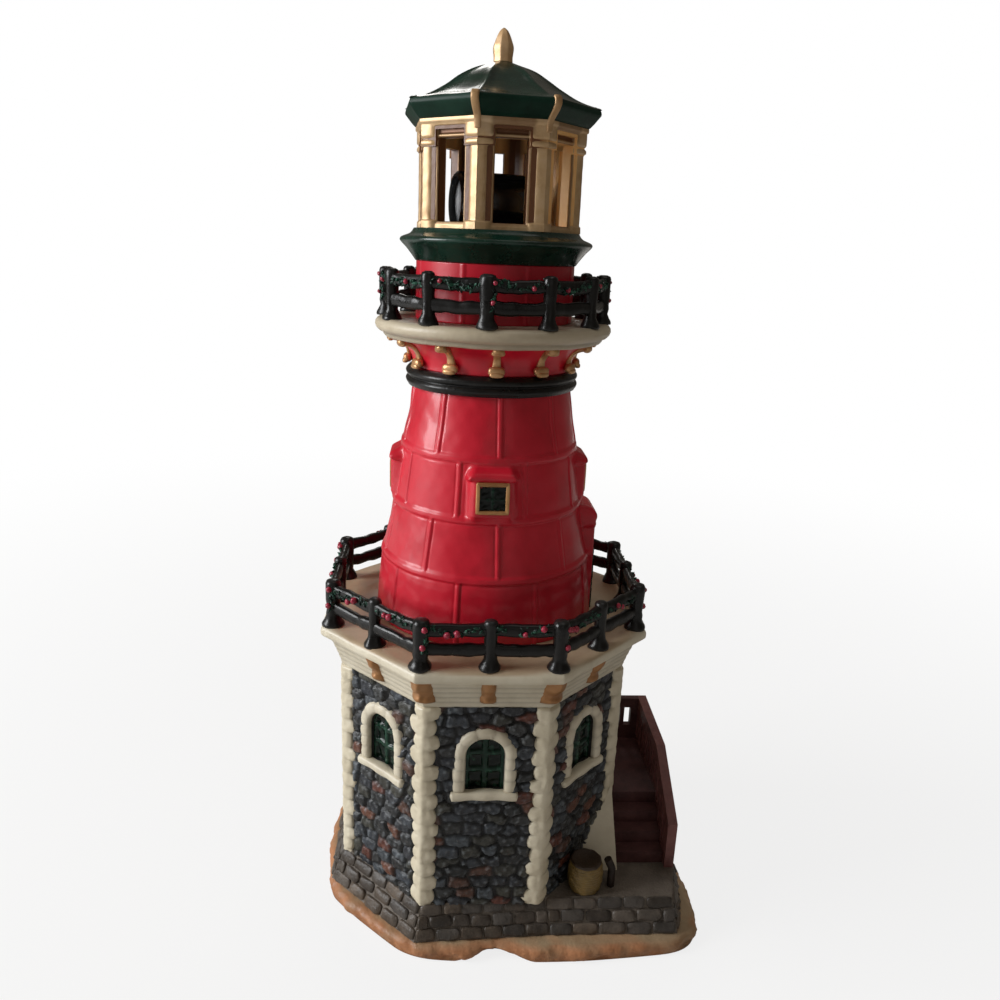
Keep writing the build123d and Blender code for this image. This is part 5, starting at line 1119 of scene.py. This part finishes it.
def make_tower_windows():
    frames, glass = Shape(), Shape()
    low_z = low("tower_window_panes")[2]
    tall = high("tower_window_panes")[2] - low_z
    side = TOWER_PANE / 2 + 0.2
    x, z = np.meshgrid(np.linspace(-side, side, 30), np.linspace(-0.2, tall + 0.2, 30))
    for n, angle in enumerate(WINDOW_ANGLES):
        add_frame(frames, angle, low_z, tall, 0.95 if n == 0 else 0.3)
        lump = wall_waves(x, z, 13 * n, 2.2, 37)
        bar = ridge(x, 0.4) + ridge(z - tall * 0.45, 0.35) * 0.6
        tint = np.array(TOWER_PANE_DARK) + wash(bar, TOWER_PANE_BAR)
        # Painted highlights: glints on the glass where its lumps rise highest.
        tint = tint + wash(smooth(lump, 0.6, 1.1), TOWER_PANE_GLINT)
        proud = 0.16 + 0.16 * bar + 0.12 * lump
        glass.add(on_wall(angle, BOSS_REACH, x, low_z + z, proud), net(*x.shape), tint)
    frames.piece("tower_window_rims", gold, "gold", ["tower_window_frames"])
    glass.piece("tower_window_glass", pane, "pane", ["tower_window_panes"])


def make_tower_door():
    lo, hi = low("tower_door"), high("tower_door")
    tall = hi[2] - lo[2]
    zs = np.linspace(lo[2], hi[2] - 0.02, 60)
    half, x, z = arch_grid(zs, DOOR_LEAF, lo[2] + tall - DOOR_LEAF / 2, 41)
    plank = np.abs(np.sin(x * pi / 1.7)) ** 0.4
    edge = smooth(half - np.abs(x), 0.0, 0.5)
    proud = -0.4 + 1.0 * edge + 0.25 * plank * edge + 0.08 * wall_waves(x, z, 0, 3, 39)
    shape = Shape()
    shape.add(on_wall(DOOR_ANGLE, DOOR_REACH, x, z, proud), net(*x.shape), wash(0.5 + plank, DOOR_PAINT))
    knob = np.array((DOOR_REACH + 1.1, DOOR_LEAF / 2 - 1.5, lo[2] + 0.45 * tall))
    shape.add(*block(knob, (1.2, 1.2, 1.2)), KNOB_PAINT)
    shape.piece("tower_door_leaf", pane, "dark_green", ["tower_door"])


# Collar, neck, scroll brackets and gallery
BORE = 18.0
COLLAR_LINE = [(BORE, 0.0), (22.3, -0.05), (23.2, 0.6), (23.55, 1.4), (23.2, 2.1), (22.9, 2.5), (23.4, 3.1),
               (23.5, 3.8), (22.9, 4.6)]
NECK_LINE = [(21.6, 0.0), (21.7, 1.5), (22.3, 3.2), (23.6, 5.2), (25.4, 6.7)]
SCROLLS = 12
SCROLL_LINE = [(22.4, 158.4), (22.5, 160.0), (22.9, 161.6), (24.0, 163.0), (25.9, 164.1), (28.3, 164.6)]
SCROLL_LUMPS = ((23.0, 159.0, (4.3, 2.3, 2.5)), (23.6, 158.2, (3.6, 1.6, 1.4)),
                (27.6, 164.0, (3.4, 1.5, 1.4)))
SCROLL_TINT = (0.95, 0.84, 0.72)
GALLERY_RIM = [(BORE, 0.0), (28.6, 0.0), (29.1, 0.15), (29.5, 0.6), (29.6, 1.1), (29.9, 1.35), (30.8, 1.7),
               (31.4, 2.3), (GALLERY, 3.1), (31.6, 3.9), (31.1, 4.6)]
# Painted shade on the gallery slab, one value for each ring: darker underneath, darkest in the crease between
# its two tiers, and darker on the floor towards the middle.
GALLERY_TIER_SHADE = np.array([1, 0.9, 0.86, 0.82, 0.66, 0.68, 0.86, 0.94, 0.98, 0.98, 0.96, 0.9, 0.8, 0.75, 1])
GALLERY_TINT, GALLERY_SEGMENTS = (0.97, 0.92, 0.86), 144


def collar_ripple(a, z):
    return 0.10 * np.sin(5 * a + 1) + 0.06 * np.sin(13 * a)


def neck_ripple(a, z):
    return 0.10 * ridge(np.sin(4.5 * a), 0.09, 2)


def make_collar_and_neck():
    line = curve(lifted(COLLAR_LINE, TOWER_TOP) + [(21.9, COLLAR_TOP), (BORE, COLLAR_TOP)], 50)
    ring = lathe(np.vstack([line, line[:1]]), 120, ripple=collar_ripple)
    add_piece(ring, "collar_ring", black, "black_gloss", ["tower_collar"])
    line = curve(lifted(NECK_LINE, COLLAR_TOP) + [(27.2, NECK_TOP)], 30)
    profile = np.vstack([[(BORE, COLLAR_TOP)], line, [(BORE, NECK_TOP)], [(BORE, COLLAR_TOP)]])
    add_piece(lathe(profile, 180, ripple=neck_ripple), "neck_glaze", red, "red_glaze", ["gallery_neck"])


def make_scrolls():
    scrolls = Shape()
    path = curve(SCROLL_LINE, 36)
    t = np.linspace(0, 1, 36)
    scale = 1.05 - 0.30 * np.sin(t * pi) ** 2 + 0.12 * smooth(t, 0.6, 1.0)
    for n in range(SCROLLS):
        axes = wall_axes(-90.0 + 360.0 / SCROLLS * n)
        right, out, up = axes
        points = out * path[:, :1] + up * path[:, 1:]
        scrolls.add(*sweep(points, oval(1.5, 2.5, 14, 0.75), right, scale), SCROLL_TINT)
        for reach, z, size in SCROLL_LUMPS:
            scrolls.add(*block(out * reach + up * z, size, axes, 0.75, 11, 18), SCROLL_TINT)
    scrolls.piece("neck_scrolls", gold_leaf, "gold", ["gallery_brackets"])


def make_gallery():
    floor = [(30.3, GALLERY_TOP), (29.0, GALLERY_TOP + 0.02), (BORE, GALLERY_TOP), (BORE, NECK_TOP)]
    verts, faces = lathe(lifted(GALLERY_RIM, NECK_TOP) + floor, GALLERY_SEGMENTS)
    verts[..., 2] += waves(verts, 12, 72) * 0.06
    tint = np.repeat(wash(0.82 * GALLERY_TIER_SHADE, GALLERY_TINT)[:, None], GALLERY_SEGMENTS, 1)
    add_piece((verts, faces), "gallery_floor", cream, "cream", ["gallery_slab"], tint)


# Drum and green sill
DRUM_RING, DRUM_SEAM_TURN = GALLERY_TOP + 9.4, -70.0
DRUM_INNER = DRUM - 3.5
SILL_LINE = [(21.2, 0.0), (22.3, 1.5), (23.6, 3.1), (24.7, 4.2), (25.2, 4.8), (25.3, 5.2), (25.0, 5.7),
             (24.2, 6.1), (22.9, 6.6), (22.2, 7.2)]


def drum_ripple(a, z):
    seam = np.radians(from_mark(np.degrees(a), DRUM_SEAM_TURN, STEP)) * DRUM
    relief = 0.22 * ridge(seam, 0.6) + 0.25 * ridge(z - DRUM_RING, 0.7)
    return np.where((z > GALLERY_TOP) & (z < DRUM_TOP), relief, 0)


def make_drum():
    wall = [(DRUM - 0.05, z) for z in np.linspace(GALLERY_TOP - 0.02, DRUM_TOP, 50)]
    profile = [(DRUM_INNER, GALLERY_TOP)] + wall + [(DRUM_INNER, DRUM_TOP), (DRUM_INNER, GALLERY_TOP)]
    add_piece(lathe(profile, 360, ripple=drum_ripple), "drum_glaze", red, "red_glaze", ["lantern_drum"])
    line = curve(lifted(SILL_LINE, DRUM_TOP) + [(21.7, SILL_TOP)], 50)
    inside = [(16.6, SILL_TOP), (16.6, SILL_TOP - 2), (18.8, SILL_TOP - 4), (18.8, DRUM_TOP)]
    ring = lathe(np.vstack([[(18.8, DRUM_TOP)], line, inside]), 160)
    add_piece(ring, "sill_glaze", green, "dark_green", ["lantern_sill"])


# Lantern cage trim, roof and eave brackets
LANTERN_TURN = 5.53
GOLD_BRACKETS = (0, 3, 4, 7)
# Faces that get a painted shadow of the eave over the top of their frieze.
SHADED_FRIEZES = (0, 1, 4, 5)
CAGE = 19.0
CAGE_WINDOW = (7.9, 1.6, 20.7)
# Brown of the painted shade in the facing's recesses.
RECESS_SHADE_COLOUR = (0.24, 0.14, 0.09)
EAVE_LOW, EAVE = 22.8, 25.7
EAVE_TOP = CAGE_TOP + 4.6
EAVE_LINE = [(10.0, 0.02), (EAVE_LOW - 0.2, 0.0), (EAVE_LOW + 0.3, 0.3), (EAVE_LOW + 1.2, 1.2),
             (EAVE - 0.6, 2.5), (EAVE - 0.15, 3.0), (EAVE - 0.05, 3.4), (EAVE - 0.2, 4.0), (EAVE - 0.4, 4.4)]
ROOF_PER_SIDE = 24
ROOF_CURVE = [(0.80, 0.12), (0.59, 0.38), (0.45, 0.61), (0.29, 0.82)]
STRAP_TOP = [(EAVE - 1.0, 0.25), (EAVE - 0.5, -0.5), (EAVE - 0.5, -1.4)]
STRAP_FOOT = [(EAVE - 1.3, 1.9), (EAVE_LOW + 0.1, 0.4), (EAVE_LOW - 0.5, -1.0), (EAVE_LOW - 0.7, -2.6)]
STRAP_TINT, STRAP_SINK = (0.8, 0.72, 0.64), 0.75
FINIAL_RADIUS, FINIAL_TINT = 2.7, (1.2, 1.12, 1.05)
FINIAL_LINE = [(0.94, 0.0), (0.92, 0.14), (1.0, 0.42), (0.82, 0.62), (0.60, 0.80), (0.38, 0.92), (0.10, 1.0)]


def make_cage_facing():
    """Gold facing of the cage: pilasters, capitals, rails and a lip around each opening, with painted brown
    shade in the recesses and the frieze, and a painted eave shadow over the upper frieze on some faces.
    """
    shape = Shape()
    width, bottom, top = CAGE_WINDOW
    face = CAGE * tan(radians(HALF))
    tall = CAGE_TOP - SILL_TOP
    xs = np.unique(np.concatenate([np.linspace(-face, face, 70), [-width / 2, width / 2]]))
    zs = np.unique(np.concatenate([np.linspace(0, tall, 110), [bottom, top]]))
    x, z = np.meshgrid(xs, zs)
    aside = face - np.abs(x)
    outside = np.maximum(np.maximum(np.abs(x) - width / 2, bottom - z), z - top)
    lip = 0.5 * ridge(outside - 0.4, 0.4)
    pilaster = 1.0 * dome(aside / 2.4, 5)
    capital = 1.55 * dome(aside / 4.0, 6) * smooth(z, 18.3, 19.2) * (1 - 0.35 * ridge(z - 20.4, 0.35, 2))
    foot = 1.35 * dome(aside / 3.7, 6) * (1 - smooth(z, 1.6, 2.4))
    rail = 0.75 * (1 - smooth(z, 0.9, 1.5))
    crown = 1.5 * smooth(z, 22.9, 23.4) + 0.45 * smooth(z, 23.7, 24.1)
    proud = 0.06 + np.maximum.reduce([lip, pilaster, capital, foot, rail, crown])
    # Painted shade: brown in the frieze band and in every recessed part of the facing.
    frieze = 0.85 * plateau(z - 22.1, 0.8, 0.3) * smooth(aside, 3.4, 4.2)
    recess_shade = np.maximum(1 - smooth(proud, 0.15, 0.75), frieze)
    # Painted shadow of the eave over the band from the window's top to the top of the facing, between the
    # pilasters, on the faces in SHADED_FRIEZES.
    shaded = np.maximum(recess_shade, 0.6 * smooth(z, 21.0, 21.8) * smooth(aside, 2.6, 3.6))
    quads = net(*x.shape)
    quads = quads[(outside.ravel()[quads] > 1e-6).any(1)]
    for i in range(SIDES):
        uneven = proud + wall_waves(x, z, 17 * i, 3.4, 44) * 0.03
        verts = on_wall(face_angle(i) + LANTERN_TURN, CAGE, x * (1 + uneven / CAGE), SILL_TOP + z, uneven)
        shape.add(verts, quads, 1 - wash(shaded if i in SHADED_FRIEZES else recess_shade, 1 - np.array(RECESS_SHADE_COLOUR)))
    shape.piece("cage_facing", gold, "gold")


def hips(angles, apothem, z):
    """Raised hips of the roof, which fade at its eave and its tip."""
    off = np.mod(angles - LANTERN_TURN, STEP) - HALF
    arc = np.radians(off) * apothem / FLAT
    swell = 0.6 * ridge(arc, 0.9, 2) * float(smooth(z, CAGE_TOP + 3.5, CAGE_TOP + 5.0))
    return swell * float(smooth(apothem, 1.5, 6.0))


def make_roof():
    rise = ROOF_TOP - EAVE_TOP
    slope = [(share * EAVE, EAVE_TOP + up * rise) for share, up in ROOF_CURVE]
    slope = curve([(EAVE - 0.5, EAVE_TOP)] + slope + [(2.4, ROOF_TOP)], 44)
    lower = [(r * FLAT, z) for r, z in lifted(EAVE_LINE, CAGE_TOP)]
    profile = lower[-1:] + [(r * FLAT, z) for r, z in slope.tolist()[1:]] + [(0.3, ROOF_TOP + 0.15, 0.1)]
    verts, faces = octagon_lathe(profile, ROOF_PER_SIDE, LANTERN_TURN, ripple=hips)
    verts[..., 2] += waves(verts, 9.0, 46) * 0.10 * smooth(verts[..., 2], CAGE_TOP + 4.4, CAGE_TOP + 5.4)
    add_piece((verts, faces), "roof_glaze", roof_green, "dark_green", ["lantern_roof"])
    add_piece(octagon_lathe(lower, ROOF_PER_SIDE, LANTERN_TURN), "eave_fascia", eave_green, "dark_green")


def make_eave_straps():
    gilt, plain = Shape(), Shape()
    path = curve(lifted(STRAP_TOP, EAVE_TOP) + lifted(STRAP_FOOT, CAGE_TOP), 30)
    scale = 1.08 - 0.25 * smooth(np.linspace(0, 1, 30), 0.3, 1.0)
    for i in range(SIDES):
        right, out, up = wall_axes(face_angle(i) + LANTERN_TURN + HALF)
        points = out * path[:, :1] + up * path[:, 1:]
        if i in GOLD_BRACKETS:
            gilt.add(*sweep(points, oval(0.9, 1.8, 14, 0.6), right, scale), STRAP_TINT)
        else:
            plain.add(*sweep(points - out * STRAP_SINK, oval(0.5, 1.5, 14, 0.6), right, scale), STRAP_TINT)
    gilt.piece("eave_corner_scrolls", gold, "gold", ["eave_brackets"])
    plain.piece("eave_corner_plain", eave_green, "dark_green")


def make_finial():
    """Pointed eight-sided bulb."""
    tall = FINIAL_TOP - ROOF_TOP
    line = curve([(share * FINIAL_RADIUS, ROOF_TOP + up * tall) for share, up in FINIAL_LINE], 40)
    profile = [(0.2, ROOF_TOP, 0.1)] + [(r * FLAT, z, 0.22 * r) for r, z in line] + [(0.02, FINIAL_TOP, 0.01)]
    bulb = octagon_lathe(profile, 8, LANTERN_TURN)
    add_piece(bulb, "finial_bulb", gold, "gold", ["finial"], FINIAL_TINT)


# Stage: pale floor, soft light mostly from the left, and the photograph's camera
FLOOR_HALF, FLOOR_DROP = 3.0, 0.0002
NEAR_WHITE, NEAR, FAR = 0.82, 0.05, 0.6
WORLD_LEVEL, WORLD_WARM = 0.11, (1.0, 0.89, 0.75, 1)
CAMERA_PLACE = Vector((-12.77, -233.26, 189.02)) * MM
CAMERA_LOOK = Vector((0.0679, 0.9555, -0.2872)).normalized()
CAMERA_ROLL, CAMERA_LENS = 2.38, 30.52


def make_floor():
    mesh = bpy.data.meshes.new("floor")
    corners = [(x * FLOOR_HALF, y * FLOOR_HALF, 0) for x, y in ((-1, -1), (1, -1), (1, 1), (-1, 1))]
    mesh.from_pydata(corners, [], [(0, 1, 2, 3)])
    floor = add_object("floor", mesh)
    floor.location.z = -FLOOR_DROP
    material = bpy.data.materials.new("pale_floor")
    material.use_nodes = True
    tree = material.node_tree
    shader = tree.nodes["Principled BSDF"]
    feed(tree, shader, {"Base Color": (0.7, 0.69, 0.67, 1), "Roughness": 0.9})
    glow = add_node(tree, "ShaderNodeEmission", {"Strength": 1.0})
    far = distance(tree, add_node(tree, "ShaderNodeTexCoord").outputs["Object"], (1, 1, 1))
    white = map_range(tree, far, NEAR, FAR, NEAR_WHITE, 1.0, interpolation_type="SMOOTHSTEP")
    seen = combine(tree, "MULTIPLY", add_node(tree, "ShaderNodeLightPath").outputs["Is Camera Ray"], white)
    inputs = {"Fac": seen, 1: shader.outputs["BSDF"], 2: glow.outputs["Emission"]}
    mix = add_node(tree, "ShaderNodeMixShader", inputs)
    feed(tree, tree.nodes["Material Output"], {"Surface": mix.outputs["Shader"]})
    mesh.materials.append(material)


def make_world():
    world = bpy.data.worlds.new("studio")
    bpy.context.scene.world = world
    world.use_nodes = True
    tree = world.node_tree
    path = add_node(tree, "ShaderNodeLightPath").outputs
    either = combine(tree, "MAXIMUM", path["Is Camera Ray"], path["Is Transmission Ray"])
    feed(tree, tree.nodes["Background"], {
        "Strength": map_range(tree, either, 0.0, 1.0, WORLD_LEVEL, 1.0),
        "Color": mix_colours(tree, either, WORLD_WARM, (1.0, 1.0, 1.0, 1))})


def add_lamp(name, place, target, size, power, colour=(1.0, 0.97, 0.93), mirrored=True):
    data = bpy.data.lights.new(name, "AREA")
    data.shape = "RECTANGLE"
    data.size, data.size_y = size
    data.energy = power
    data.color = colour
    light = add_object(name, data)
    light.location = place
    light.visible_glossy = mirrored
    light.rotation_euler = (Vector(target) - Vector(place)).to_track_quat("-Z", "Y").to_euler()


def make_camera():
    data = bpy.data.cameras.new("camera")
    data.sensor_width = 36.0
    data.lens = CAMERA_LENS
    data.clip_start = 0.01
    camera = add_object("camera", data)
    level_right = CAMERA_LOOK.cross(Vector((0, 0, 1))).normalized()
    level_up = level_right.cross(CAMERA_LOOK)
    turn = radians(CAMERA_ROLL)
    right = level_right * cos(turn) + level_up * sin(turn)
    up = level_up * cos(turn) - level_right * sin(turn)
    columns = ((*right, 0), (*up, 0), (*-CAMERA_LOOK, 0), (*CAMERA_PLACE, 1))
    camera.matrix_world = Matrix(columns).transposed()
    bpy.context.scene.camera = camera


finish_cad_nodes()
make_slab()
make_bricks()
make_stones()
make_quoins()
make_surrounds()
make_panes()
make_keg()
make_deck()
make_corbels()
make_railings()
make_tower()
make_tower_windows()
make_tower_door()
make_collar_and_neck()
make_scrolls()
make_gallery()
make_drum()
make_cage_facing()
make_roof()
make_eave_straps()
make_finial()
make_floor()
make_world()
add_lamp("key", (-1.0, -0.12, 0.48), (0, 0, 0.13), (0.5, 0.6), 12.0, (0.96, 0.98, 1.0))
add_lamp("fill", (0.20, -0.95, 0.45), (0, 0, 0.12), (0.6, 0.6), 0.25)
add_lamp("top", (0.2, -0.1, 1.3), (0, 0, 0.1), (0.7, 0.7), 1.3)
add_lamp("back", (-0.062, 0.83, 0.645), (0, 0, 0.226), (0.15, 0.2), 0.5)
add_lamp("rear", (0.34, 0.92, 0.19), (0, 0, 0.13), (0.7, 0.3), 2.6, mirrored=False)
make_camera()
bpy.context.scene.view_settings.view_transform = "Standard"
